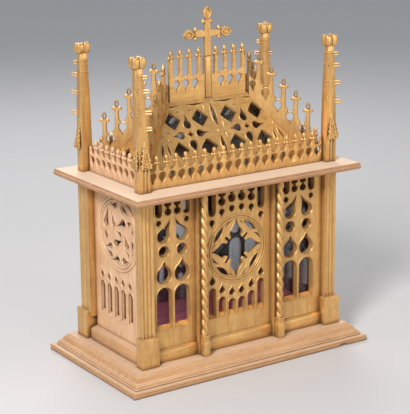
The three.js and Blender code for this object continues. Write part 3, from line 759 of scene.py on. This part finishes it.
def roof_side(name):
    slope = 128.6
    edge = lambda v: -0.516 * v
    outline = [(-edge(-slope + 3), -slope + 3), (edge(-slope + 3), -slope + 3), (1.5, -3), (-1.5, -3)]
    loops = [leaf(0, -20, 0, -42, 4, 4), eye(0, -47.5, 4, 90), tear(0, -64, 6.6, 0, -53),
             eye(0, -75.6, 4.6, 30), tear(0, -96, 6.4, 0, -81), eye(0, -108, 4.6, 90)]
    for side in (1, -1):
        loops += [lozenge(side * 15.4, -61, 7.6, 12), eye(side * 12.6, -78, 4.2, 90),
                  lozenge(side * 21, -93, 12.4, 13), eye(side * 27.6, -77, 3.6, 90),
                  tear(side * 41.4, -96, 6.2, side * 36.5, -83), eye(side * 34.6, -110, 4.4, 90),
                  leaf(side * 50.5, -117, side * 48.5, -101, 2.2, 2.2), eye(side * 11.4, -112, 4.2, 90)]
    return join(name, [board(name, [outline, *loops], 4, 1.4, 3), beads(loops, 1.1, -0.4)])


for side, turn in (("front", 0), ("back", 180)):
    piece = roof_front(f"roof_tracery_{side}")
    stand(piece, turn, 0, 0, 371, tilt=56.9)
    done(piece, "gilded_wood", f"roof_{side}")
print("roof faces:", len(piece.data.polygons))
for side, turn in (("left", -90), ("right", 90)):
    piece = roof_side(f"roof_tracery_{side}")
    stand(piece, turn, -66 if side == "left" else 66, 0, 371, tilt=51.8)
    done(piece, "gilded_wood", f"roof_{side}")

# %% [markdown]
# ## Pinnacles
# A pinnacle is a tapering square shaft. Gablets full of leafage lean out on its outer faces, crockets
# stick out at the corners, and a lobed capital ends it. The tops are broken, and one shaft leans.

# %% One pinnacle
PIN = (155.6, 76.9)


def gablet(w, seed):
    """A triangular board with a raised rim, knobs up its edges and leafage inside."""
    tri = [(-w, 0), (w, 0), (0.9, 38), (-0.9, 38)]
    inner = [(-w + 3.2, 1.6), (w - 3.2, 1.6), (0, 30)]
    rim = board("rim", [tri, inner], 2.4, 0.5, 0.6, offset=-0.5)
    ground = board("ground", [[(-w + 2, 0.8), (w - 2, 0.8), (0, 34)]], 1.2, 0.2, 0.3)
    ground.location.z = -1.2 * U
    parts = [rim, settle(ground)]
    rng = random.Random(seed)
    for k in range(12):
        y = 3 + 1.9 * k
        room = max(0.4, (w - 3.4) * (1 - y / 30))
        x = rng.uniform(-room, room)
        parts.append(ball(x, y, -0.9, rng.uniform(1.1, 1.9), rng.uniform(1.1, 1.9), 1.2))
    for k in range(5):
        for side in (-1, 1):
            y = 5 + 6.6 * k
            x = side * (w * (1 - y / 39) + 0.9)
            parts.append(ball(x, y, -1.1, 1.2, 1.5, 1.2))
    parts += [ball(0, 40.6, -1.2, 1.8, 2.4, 1.6), ball(-2.2, 38.6, -1.2, 1.3, 1.2, 1.1),
              ball(2.2, 38.6, -1.2, 1.3, 1.2, 1.1), ball(0, 43.6, -1.2, 1.1, 2, 1.1)]
    return join("gablet", parts)


def prong(x, y, z, turn, long):
    """A crocket: two short leaves, one over the other, pointing out at a corner."""
    parts = []
    for dz in (0, -3.4):
        place = ((x + cos(turn) * long / 2) * U, (y + sin(turn) * long / 2) * U, (z + dz) * U)
        bpy.ops.mesh.primitive_cone_add(vertices=8, radius1=1.7 * U, radius2=1.05 * U, depth=long * U,
                                        rotation=(0, math.radians(84), math.radians(turn)), location=place)
        parts.append(settle(bpy.context.object))
    return parts


def pinnacle(name, fx, fy, corners, lean, seed):
    """fx, fy give the outer directions; corners lists (angle, level, length) of what crockets remain."""
    sizes = [(269.9, 8.65, 6.9), (310, 8.3, 6.8), (368, 7.3, 6.5), (425.5, 5.6, 4.7), (426, 6.3, 5.4),
             (428.4, 6.3, 5.4), (429, 5.4, 4.5), (437, 5.3, 4.4)]
    at = lambda z: lean * max(0, (z - 300) / 154)
    shaft = tower("shaft", [(z, at(z) - a, at(z) + a, -b, b) for z, a, b in sizes], 0.5)
    parts = [shaft]
    # three reeds low on the outer front face
    for k in (-1, 0, 1):
        y0, y1 = sorted((fy * 6, fy * 8.1))
        parts.append(tower("reed", [(271, 5.2 * k - 1.7, 5.2 * k + 1.7, y0, y1),
                                    (309, 5 * k - 1.6, 5 * k + 1.6, y0, y1)], 0.8))
    for z in (359, 386, 411):
        a, b = 8.65 - 3 * (z - 269) / 160 + 0.7, 6.9 - 2.2 * (z - 269) / 160 + 0.7
        parts.append(tower("band", [(z + k, at(z) - a, at(z) + a, -b, b) for k in (-0.8, 0.8)], 0.3))
    for turn, w, out in ((0 if fy < 0 else 180, 8.4, 6.9), (90 * fx, 6.9, 8.5)):
        far = out + 5.4
        parts.append(stand(gablet(w, seed), turn, far * sin(turn), -far * cos(turn), 304, tilt=82))
    for turn, z, long in corners:
        k = (z - 269) / 160
        a, b = 8.65 - 3 * k, 6.9 - 2.2 * k
        x, y = a * math.copysign(1, cos(turn)) * 0.9, b * math.copysign(1, sin(turn)) * 0.9
        parts += prong(x + at(z), y, z, turn, long)
    rng = random.Random(seed)
    c = at(445)
    parts.append(tower("core", [(436, c - 5, c + 5, -4, 4), (447.5, c - 6, c + 6, -5, 5)], 0.4))
    for sx in (-1, 1):
        for sy in (-1, 1):
            x, y, top = c + sx * 4.8, sy * 3.7, 451.6 + rng.uniform(-2, 0.8)
            swell = [(436.4, 2.6, 2.2), (438.4, 4.2, 3.3), (442, 4.6, 3.6), (448, 4.4, 3.5), (top, 3.6, 2.8)]
            parts.append(tower("lobe", [(z, x - a, x + a, y - b, y + b) for z, a, b in swell], 0.9))
    obj = join(name, parts)
    obj.location = (fx * PIN[0] * U, fy * PIN[1] * U, 0)
    return settle(obj)


sets = {
    "front_left": (-1, -1, [(-45, 408, 8), (-45, 380, 9), (-45, 426.5, 6), (-135, 380, 3), (-135, 408, 3),
                            (45, 392, 6), (45, 367, 7), (-45, 358, 8)], -5.4, 3),
    "front_right": (1, -1, [(-45, 427, 6), (-45, 411, 8.5), (-45, 386, 9), (-45, 359, 9), (-135, 386, 3.4),
                            (-135, 411, 3), (45, 360, 7), (45, 386, 6)], 0, 5),
    "back_left": (-1, 1, [(135, 425, 5.6), (135, 408, 8.5), (135, 383, 9), (135, 355, 9), (45, 383, 6)], 0, 7),
    "back_right": (1, 1, [(135, 425, 5.6), (135, 408, 8.5), (135, 384, 8), (45, 383, 9), (45, 356, 9),
                          (-45, 408, 5)], 0, 9),
}
for name, (fx, fy, corners, lean, seed) in sets.items():
    piece = pinnacle(f"pinnacle_carved_{name}", fx, fy, corners, lean, seed)
    done(piece, "gilded_wood", f"pinnacle_{name}", angle=45)
print("pinnacle faces:", len(piece.data.polygons))

# %% [markdown]
# ## The cross
# The cross is one thicker board on a plain post. Each arm ends in a hollow pointed bud between two
# round lobes.

# %% Cross and its post
h = 4.9
outline = [(-h, -31.6), (h, -31.6), (h, -h), (21, -h + 1.2), (21, h - 1.2), (h, h), (h - 1, 19), (1 - h, 19),
           (-h, h), (-21, h - 1.2), (-21, -h + 1.2), (-h, -h)]
bars = board("bars", [outline], 6.2, 0.6, 0.7, offset=-0.6)
parts = [bars]
for turn, long in ((0, 41), (90, 38.4), (180, 41)):
    rim = moved(leaf(long - 20.5, 0, long, 0, 7.2, 7.2, 8), turn=turn)
    hollow = moved(leaf(long - 15, 0, long - 4, 0, 3, 3, 6), turn=turn)
    bed = moved(leaf(long - 17, 0, long - 2, 0, 4.4, 4.4, 6), turn=turn)
    parts.append(board("head", [rim, hollow], 5.4, 1.2, 1.5, offset=-1.2))
    bed = board("bed", [bed], 2, 0.3, 0.4)
    bed.location.z = -1.9 * U
    parts.append(settle(bed))
    for side in (-1, 1):
        (px, py), = moved([(long - 21.5, side * 6.2)], turn=turn)
        parts.append(ball(px, py, -2.8, 3.4, 3.4, 3))
cross = join("cross_carved", parts)
stand(cross, 0, 0, -3.1, 458.9)
done(cross, "gilded_wood", "cross", angle=45)
post = tower("cross_foot_post", [(369.4, -4.9, 4.9, -3.7, 3.7), (426.9, -4.9, 4.9, -3.7, 3.7)], 0.5)
done(post, "gilded_wood", "cross_post")

# %% [markdown]
# ## Satin lining
# The relic would lie on a pad covered in burgundy satin. The satin is cut a little large, so it
# settles into folds. Folds like that come best from letting cloth find its own rest.

# %% Satin pad
bpy.ops.mesh.primitive_cube_add(size=1, location=(0, 0, 0.0595))
pad = bpy.context.object
pad.name = pad.data.name = "satin_pad"
pad.scale = (0.349, 0.157, 0.0235)
settle(pad)
skin = pad.modifiers.new("skin", "REMESH")
skin.mode, skin.voxel_size = "VOXEL", 0.0044
apply_all(pad)
bpy.ops.object.empty_add(location=(0, 0, 0))
stretch = bpy.context.object
stretch.scale = (4.0, 0.75, 4.0)
folds = bpy.data.textures.new("folds", "CLOUDS")
folds.noise_scale, folds.noise_depth = 0.03, 1
lay = pad.modifiers.new("lay", "DISPLACE")
lay.texture, lay.texture_coords, lay.texture_coords_object = folds, "OBJECT", stretch
lay.strength, lay.mid_level = 0.008, 0.5
apply_all(pad)
bpy.data.objects.remove(stretch)
MOST = 0.0035
before = np.empty(len(pad.data.vertices) * 3)
pad.data.vertices.foreach_get("co", before)
cloth = pad.modifiers.new("cloth", "CLOTH")
cloth.settings.quality, cloth.settings.mass = 5, 0.15
cloth.settings.tension_stiffness = cloth.settings.compression_stiffness = 12
cloth.settings.bending_stiffness = 0.4
cloth.settings.use_pressure, cloth.settings.uniform_pressure_force = True, 3
cloth.settings.shrink_min = -0.05
cloth.settings.effector_weights.gravity = 0
cloth.collision_settings.use_collision = False
for f in range(1, 19):
    bpy.context.scene.frame_set(f)
alone(pad)
bpy.ops.object.modifier_apply(modifier="cloth")
bpy.context.scene.frame_set(1)
after = np.empty(len(pad.data.vertices) * 3)
pad.data.vertices.foreach_get("co", after)
step = np.clip(after - before, -MOST, MOST)
pad.data.vertices.foreach_set("co", before + step)
print("satin moved up to", round(1000 * float(np.abs(step).max()), 2), "mm")
fine = pad.modifiers.new("fine", "SUBSURF")
fine.levels = fine.render_levels = 1
apply_all(pad)
done(pad, "satin", "satin_cushion", angle=80)
print("pad top, mm:", round(1000 * max(v.co.z for v in pad.data.vertices), 1))

# %% [markdown]
# ## Finish
# Gilding over a warm ground wears first on the arrises, and a painted highlight is laid over that wear. The
# hollows get painted shade from ambient occlusion, with a little dirt, and faces that look up get painted
# light from above. One set of shader groups makes the wood's grain, the painted shade and dirt, and the wear,
# and every gilded piece shares it.

# %% Shader groups
def group(name, ins, outs):
    tree = bpy.data.node_groups.new(name, "ShaderNodeTree")
    for label, kind, value in ins:
        sock = tree.interface.new_socket(label, in_out="INPUT", socket_type="NodeSocket" + kind)
        sock.default_value = value
    for label, kind in outs:
        tree.interface.new_socket(label, in_out="OUTPUT", socket_type="NodeSocket" + kind)
    return tree, tree.nodes.new("NodeGroupInput"), tree.nodes.new("NodeGroupOutput")


def add(tree, kind, inputs=None, **props):
    node = tree.nodes.new("ShaderNode" + kind)
    for key, value in props.items():
        setattr(node, key, value)
    for key, value in (inputs or {}).items():
        if isinstance(value, bpy.types.NodeSocket):
            tree.links.new(value, node.inputs[key])
        else:
            node.inputs[key].default_value = value
    return node


def noise(tree, coords, scale, detail=4, rough=0.55, stretch=None):
    vec = coords
    if stretch:
        vec = add(tree, "VectorMath", {0: coords, 1: stretch}, operation="MULTIPLY").outputs[0]
    return add(tree, "TexNoise", {"Vector": vec, "Scale": scale, "Detail": detail,
                                  "Roughness": rough}).outputs[0]


def ramp(tree, fac, low, high, a=0.0, b=1.0):
    return add(tree, "MapRange", {0: fac, 1: low, 2: high, 3: a, 4: b}).outputs[0]


def blend(tree, fac, a, b, how="MIX"):
    node = tree.nodes.new("ShaderNodeMix")
    node.data_type, node.blend_type = "RGBA", how
    for key, value in ((0, fac), (6, a), (7, b)):
        if isinstance(value, bpy.types.NodeSocket):
            tree.links.new(value, node.inputs[key])
        else:
            node.inputs[key].default_value = value
    return node.outputs[2]


def maths(tree, op, a, b=0.5, clamp=False):
    return add(tree, "Math", {0: a, 1: b}, operation=op, use_clamp=clamp).outputs[0]


grain, gi, go = group("wood_grain", [("Vector", "Vector", (0, 0, 0)), ("Stretch", "Vector", (1, 1, 0.08))],
                      [("Streaks", "Float"), ("Height", "Float")])
vec = add(grain, "VectorMath", {0: gi.outputs[0], 1: gi.outputs[1]}, operation="MULTIPLY").outputs[0]
warp = add(grain, "TexNoise", {"Vector": vec, "Scale": 60, "Detail": 2}).outputs[1]
bent = add(grain, "VectorMath", {0: warp, 1: (0.012, 0.012, 0.012), 2: vec}, operation="MULTIPLY_ADD")
fibres = add(grain, "TexNoise", {"Vector": bent.outputs[0], "Scale": 420, "Detail": 5,
                                 "Roughness": 0.6}).outputs[0]
broad = add(grain, "TexNoise", {"Vector": bent.outputs[0], "Scale": 110, "Detail": 2}).outputs[0]
grain.links.new(maths(grain, "ADD", maths(grain, "MULTIPLY", fibres, 0.55), maths(grain, "MULTIPLY", broad, 0.45)),
                go.inputs[0])
grain.links.new(fibres, go.inputs[1])

age_and_shade, gi, go = group("age_and_shade", [("Vector", "Vector", (0, 0, 0))],
                    [("Shade_and_dirt", "Float"), ("Wear_and_highlight", "Float"), ("Holes", "Float"), ("Cloudy", "Float"),
                     ("Normal", "Vector")])
# Painted shade: ambient occlusion darkens the hollows, and a little dirt from noise is added to it.
close_ao_shade = add(age_and_shade, "AmbientOcclusion", {"Distance": 0.012}, samples=8).outputs["AO"]
wide_ao_shade = add(age_and_shade, "AmbientOcclusion", {"Distance": 0.05}, samples=6).outputs["AO"]
dirty = noise(age_and_shade, gi.outputs[0], 90, 5)
hollow = maths(age_and_shade, "ADD", ramp(age_and_shade, close_ao_shade, 0.28, 0.84, 1, 0),
               maths(age_and_shade, "MULTIPLY", ramp(age_and_shade, dirty, 0.4, 0.7), 0.14))
hollow = maths(age_and_shade, "ADD", hollow, maths(age_and_shade, "MULTIPLY", ramp(age_and_shade, wide_ao_shade, 0.1, 0.7, 1, 0), 0.2), clamp=True)
age_and_shade.links.new(hollow, go.inputs[0])
# Rubbed wear and painted highlight: where the rounded normal turns away from the face, the arris goes pale.
rounded = add(age_and_shade, "Bevel", {"Radius": 0.0007}, samples=6).outputs[0]
true = add(age_and_shade, "NewGeometry").outputs["True Normal"]
turned = add(age_and_shade, "VectorMath", {0: rounded, 1: true}, operation="DOT_PRODUCT").outputs["Value"]
edge = maths(age_and_shade, "MULTIPLY", ramp(age_and_shade, turned, 0.995, 0.86),
             ramp(age_and_shade, noise(age_and_shade, gi.outputs[0], 160, 3), 0.35, 0.6))
age_and_shade.links.new(edge, go.inputs[1])
spots = add(age_and_shade, "TexVoronoi", {"Vector": gi.outputs[0], "Scale": 60, "Randomness": 1}).outputs["Distance"]
few = ramp(age_and_shade, noise(age_and_shade, gi.outputs[0], 21, 1), 0.56, 0.6)
age_and_shade.links.new(maths(age_and_shade, "MULTIPLY", ramp(age_and_shade, spots, 0.03, 0.045, 1, 0), few), go.inputs[2])
age_and_shade.links.new(ramp(age_and_shade, noise(age_and_shade, gi.outputs[0], 26, 4), 0.3, 0.7), go.inputs[3])
age_and_shade.links.new(rounded, go.inputs[4])

# %% Gilded wood
INSIDE = 0.1832, 0.0864, 0.034, 0.3258   # the painted inside of the case: half width, half depth, bottom, top
CRIMSON = (0.11, 0.016, 0.014, 1)


def rgb(r, g, b):
    """A display colour, 0 to 255, as a linear value."""
    lin = [(c / 255 / 12.92) if c < 10 else ((c / 255 + 0.055) / 1.055) ** 2.4 for c in (r, g, b)]
    return (*lin, 1)


def blank(name):
    """A new material, its empty tree, and the place on the object."""
    m = bpy.data.materials.new(name)
    m.use_nodes = True
    m.node_tree.nodes.clear()
    return m, m.node_tree, add(m.node_tree, "TexCoord").outputs["Object"]


def ended(m, t, shader):
    t.links.new(shader.outputs[0], add(t, "OutputMaterial").inputs[0])
    return m


def coat(obj, m):
    obj.data.materials.clear()
    obj.data.materials.append(m)


def gilded(name, base, light_, deep, ground, stretch, metal=0.62, rough=0.36, painted_top_light=0.2):
    """base, light_ and deep are the gold, its rubbed edge with a painted highlight, and the brown of its flecks
    and of the painted shade in its hollows; ground shows through in clouds. painted_top_light paints light from
    above onto faces that look up.
    """
    m, t, place = blank(name)
    g = add(t, "Group", node_tree=grain)
    t.links.new(place, g.inputs[0])
    g.inputs[1].default_value = stretch
    a = add(t, "Group", node_tree=age_and_shade)
    t.links.new(place, a.inputs[0])
    col = blend(t, ramp(t, g.outputs["Streaks"], 0.3, 0.7), base, light_)
    col = blend(t, maths(t, "MULTIPLY", a.outputs["Cloudy"], 0.35), col, ground)
    fleck = ramp(t, noise(t, place, 700, 3), 0.56, 0.7)
    col = blend(t, maths(t, "MULTIPLY", fleck, 0.3), col, deep)
    # Painted shade: the deep brown is laid in the hollows by ambient occlusion, with a little dirt.
    col = blend(t, maths(t, "MULTIPLY", a.outputs["Shade_and_dirt"], 0.8), col, deep)
    # Rubbed wear and painted highlight: the arrises take the pale light_ colour.
    col = blend(t, maths(t, "MULTIPLY", a.outputs["Wear_and_highlight"], 0.6), col, light_)
    col = blend(t, maths(t, "MULTIPLY", a.outputs["Holes"], 0.85), col, (0.03, 0.015, 0.008, 1))
    # Painted light from above: faces that look up are blended towards a pale cream.
    up = add(t, "SeparateXYZ", {0: add(t, "NewGeometry").outputs["Normal"]}).outputs[2]
    col = blend(t, maths(t, "MULTIPLY", ramp(t, up, 0.8, 0.97), painted_top_light), col, rgb(242, 220, 196))
    shiny = maths(t, "SUBTRACT", metal, maths(t, "MULTIPLY", a.outputs["Shade_and_dirt"], 0.2), clamp=True)
    x, y, z = add(t, "SeparateXYZ", {0: place}).outputs
    within = maths(t, "LESS_THAN", maths(t, "ABSOLUTE", x), INSIDE[0])
    for test in (maths(t, "LESS_THAN", maths(t, "ABSOLUTE", y), INSIDE[1]), maths(t, "LESS_THAN", z, INSIDE[3]),
                 maths(t, "GREATER_THAN", z, INSIDE[2])):
        within = maths(t, "MULTIPLY", within, test)
    col = blend(t, within, col, CRIMSON)
    shiny = maths(t, "MULTIPLY", shiny, maths(t, "SUBTRACT", 1, within))
    height = maths(t, "ADD", maths(t, "MULTIPLY", g.outputs["Height"], 0.6),
                   maths(t, "MULTIPLY", noise(t, place, 900, 2), 0.4))
    height = maths(t, "SUBTRACT", height, a.outputs["Holes"])
    bump = add(t, "Bump", {"Strength": 0.35, "Distance": 0.0006, "Height": height,
                           "Normal": a.outputs["Normal"]})
    s = add(t, "BsdfPrincipled", {"Base Color": col, "Metallic": shiny, "Normal": bump.outputs[0],
                                  "Roughness": ramp(t, g.outputs["Streaks"], 0.2, 0.8, rough - 0.1, rough + 0.14)})
    return ended(m, t, s)


# Each set: the gold, its rubbed edge and painted highlight, the brown of flecks and painted shade, the ground.
UP, ACROSS, ALONG = (1, 1, 0.09), (0.09, 1, 1), (1, 0.09, 1)
GOLD = rgb(196, 144, 82), rgb(240, 200, 130), rgb(82, 38, 10), rgb(184, 138, 90)
# Painted light: a paler, pinker copy of the gold for the side pieces, standing in for the strong light on the
# sides.
LIT_SIDE_CREAM = rgb(206, 156, 112), rgb(238, 204, 164), rgb(92, 48, 20), rgb(192, 146, 110)
OAK = rgb(180, 130, 84), rgb(216, 176, 130), rgb(86, 48, 20), rgb(172, 124, 82)
gold_up = gilded("gold_upright", *GOLD, UP)
gold_x = gilded("gold_lengthwise", *GOLD, ACROSS)
pale_lit_side = gilded("pale_upright_lit_side", *LIT_SIDE_CREAM, UP, 0.12, painted_top_light=0.5)
pale_x = gilded("pale_lengthwise", *OAK, ACROSS, 0.08, 0.55, painted_top_light=0.45)
pale_y = gilded("pale_crosswise", *OAK, ALONG, 0.08, 0.55, painted_top_light=0.3)
EDGE = rgb(166, 114, 74), rgb(206, 160, 116), rgb(80, 44, 20), rgb(150, 104, 68)
cornice_x = gilded("cornice_lengthwise", *EDGE, ACROSS, 0.05, 0.55, painted_top_light=0.85)

for obj in made:
    n = obj.name
    if n.startswith("base_"):
        m = pale_x
    elif n.startswith("cornice"):
        m = cornice_x
    elif n.startswith("sill_board_side"):
        m = pale_y
    # The side walls and side crestings get the paler copy of the gold: painted light on the sides.
    elif n.startswith(("wall_side", "cresting_left", "cresting_right")):
        m = pale_lit_side
    elif n.startswith(("sill_", "ridge_")):
        m = gold_x
    else:
        m = gold_up
    if obj is not pad:
        coat(obj, m)

# %% Satin, painted floor and glass
satin, t, place = blank("burgundy_satin")
weave = add(t, "TexWave", {"Vector": place, "Scale": 900, "Distortion": 1.5, "Detail": 1},
            bands_direction="Y").outputs[1]
cloud = ramp(t, noise(t, place, 40, 3, stretch=(0.3, 1, 1)), 0.3, 0.7)
col = blend(t, cloud, rgb(196, 84, 118), rgb(240, 150, 178))
bump = add(t, "Bump", {"Strength": 0.12, "Distance": 0.0003, "Height": weave})
s = add(t, "BsdfPrincipled", {"Base Color": col, "Roughness": 0.36, "Anisotropic": 0.5, "Sheen Weight": 0.35,
                              "Sheen Roughness": 0.35, "Normal": bump.outputs[0]})
s.inputs["Sheen Tint"].default_value = rgb(235, 170, 195)
# Painted glow: a weak crimson emission lifts the satin, which lies where little light reaches.
s.inputs["Emission Color"].default_value = rgb(170, 60, 92)
s.inputs["Emission Strength"].default_value = 0.16
coat(pad, ended(satin, t, s))

paint, t, place = blank("dark_red_paint")
col = blend(t, ramp(t, noise(t, place, 30, 4), 0.35, 0.7), rgb(70, 18, 16), rgb(96, 30, 24))
bump = add(t, "Bump", {"Strength": 0.3, "Distance": 0.0005,
                       "Height": noise(t, place, 300, 3, stretch=(0.1, 1, 1))})
s = add(t, "BsdfPrincipled", {"Base Color": col, "Roughness": 0.6, "Normal": bump.outputs[0]})
ended(paint, t, s)



def pane(name, colour, alpha):
    m, t, place = blank(name)
    bump = add(t, "Bump", {"Strength": 0.06, "Distance": 0.002, "Height": noise(t, place, 24, 2)})
    smudge = ramp(t, noise(t, place, 60, 4), 0.5, 0.8, 0.02, 0.1)
    s = add(t, "BsdfPrincipled", {"Base Color": colour, "Metallic": 0.0, "IOR": 1.5, "Transmission Weight": 1.0,
                                  "Alpha": alpha, "Roughness": smudge, "Normal": bump.outputs[0]})
    return ended(m, t, s)


clear = pane("old_glass", (0.95, 0.98, 0.97, 1), 0.12)
# Painted shade: the far panes, at the back and on the right, are dark grey-blue and dim the view through the case.
shade_glass = pane("shade_dark_glass", (0.2, 0.23, 0.3, 1), 0.62)
for name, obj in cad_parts.items():
    if name.startswith("glass") or name == "floor":
        far = name.endswith(("_back", "_right"))
        coat(obj, paint if name == "floor" else shade_glass if far else clear)
print("pieces made:", len(made))

# %% [markdown]
# ## Floor, light and camera
# The piece stands on a plain pale floor. A wide soft light hangs high on the left, and a weaker one
# fills from the right, so that the pared edges show.

# %% Floor
bpy.ops.mesh.primitive_plane_add(size=18, location=(0, 0, 0))
ground = bpy.context.object
ground.name = "studio_floor"
m = bpy.data.materials.new("studio_floor")
m.use_nodes = True
s = m.node_tree.nodes["Principled BSDF"]
s.inputs["Base Color"].default_value = (0.62, 0.62, 0.63, 1)
s.inputs["Roughness"].default_value = 0.75
ground.data.materials.append(m)

# %% Lights
def lamp(name, where, aim, size, power, colour):
    bpy.ops.object.light_add(type="AREA", location=where)
    obj = bpy.context.object
    obj.name = name
    obj.data.shape, obj.data.size, obj.data.energy, obj.data.color = "DISK", size, power, colour
    d = [a - b for a, b in zip(where, aim)]
    obj.rotation_euler = (math.atan2(math.hypot(d[0], d[1]), d[2]), 0, math.atan2(d[1], d[0]) + math.pi / 2)


lamp("key", (-2.0, -1.5, 2.0), (0, 0, 0.3), 0.8, 93, (1, 0.97, 0.95))
lamp("fill", (1.4, -2.2, 0.9), (0, 0, 0.3), 1.2, 14, (1, 0.88, 0.7))
lamp("back", (0.8, 1.8, 2.0), (0, 0, 0.35), 1.4, 22, (1, 0.97, 0.94))
world = bpy.data.worlds.new("studio")
bpy.context.scene.world = world
world.use_nodes = True
world.node_tree.nodes["Background"].inputs[0].default_value = (0.8, 0.82, 0.86, 1)
world.node_tree.nodes["Background"].inputs[1].default_value = 0.5

# %% Camera
az, el, roll, far = -33.606, 14.986, -0.556, 2.5711
aim = (-0.01869, 0, 0.27576)
back = (sin(az) * cos(el), -cos(az) * cos(el), sin(el))
bpy.ops.object.camera_add(location=[a + b * far for a, b in zip(aim, back)])
camera = bpy.context.object
camera.rotation_euler = (math.radians(90 - el), 0, math.radians(az))
camera.rotation_mode = "XYZ"
bpy.context.view_layer.update()
camera.matrix_world = camera.matrix_world @ Matrix.Rotation(math.radians(roll), 4, "Z")
camera.data.sensor_width, camera.data.lens = 36, 125.69
camera.data.shift_x, camera.data.shift_y = 0.0133, -0.0151
bpy.context.scene.camera = camera
bpy.context.scene.view_settings.view_transform = "Standard"
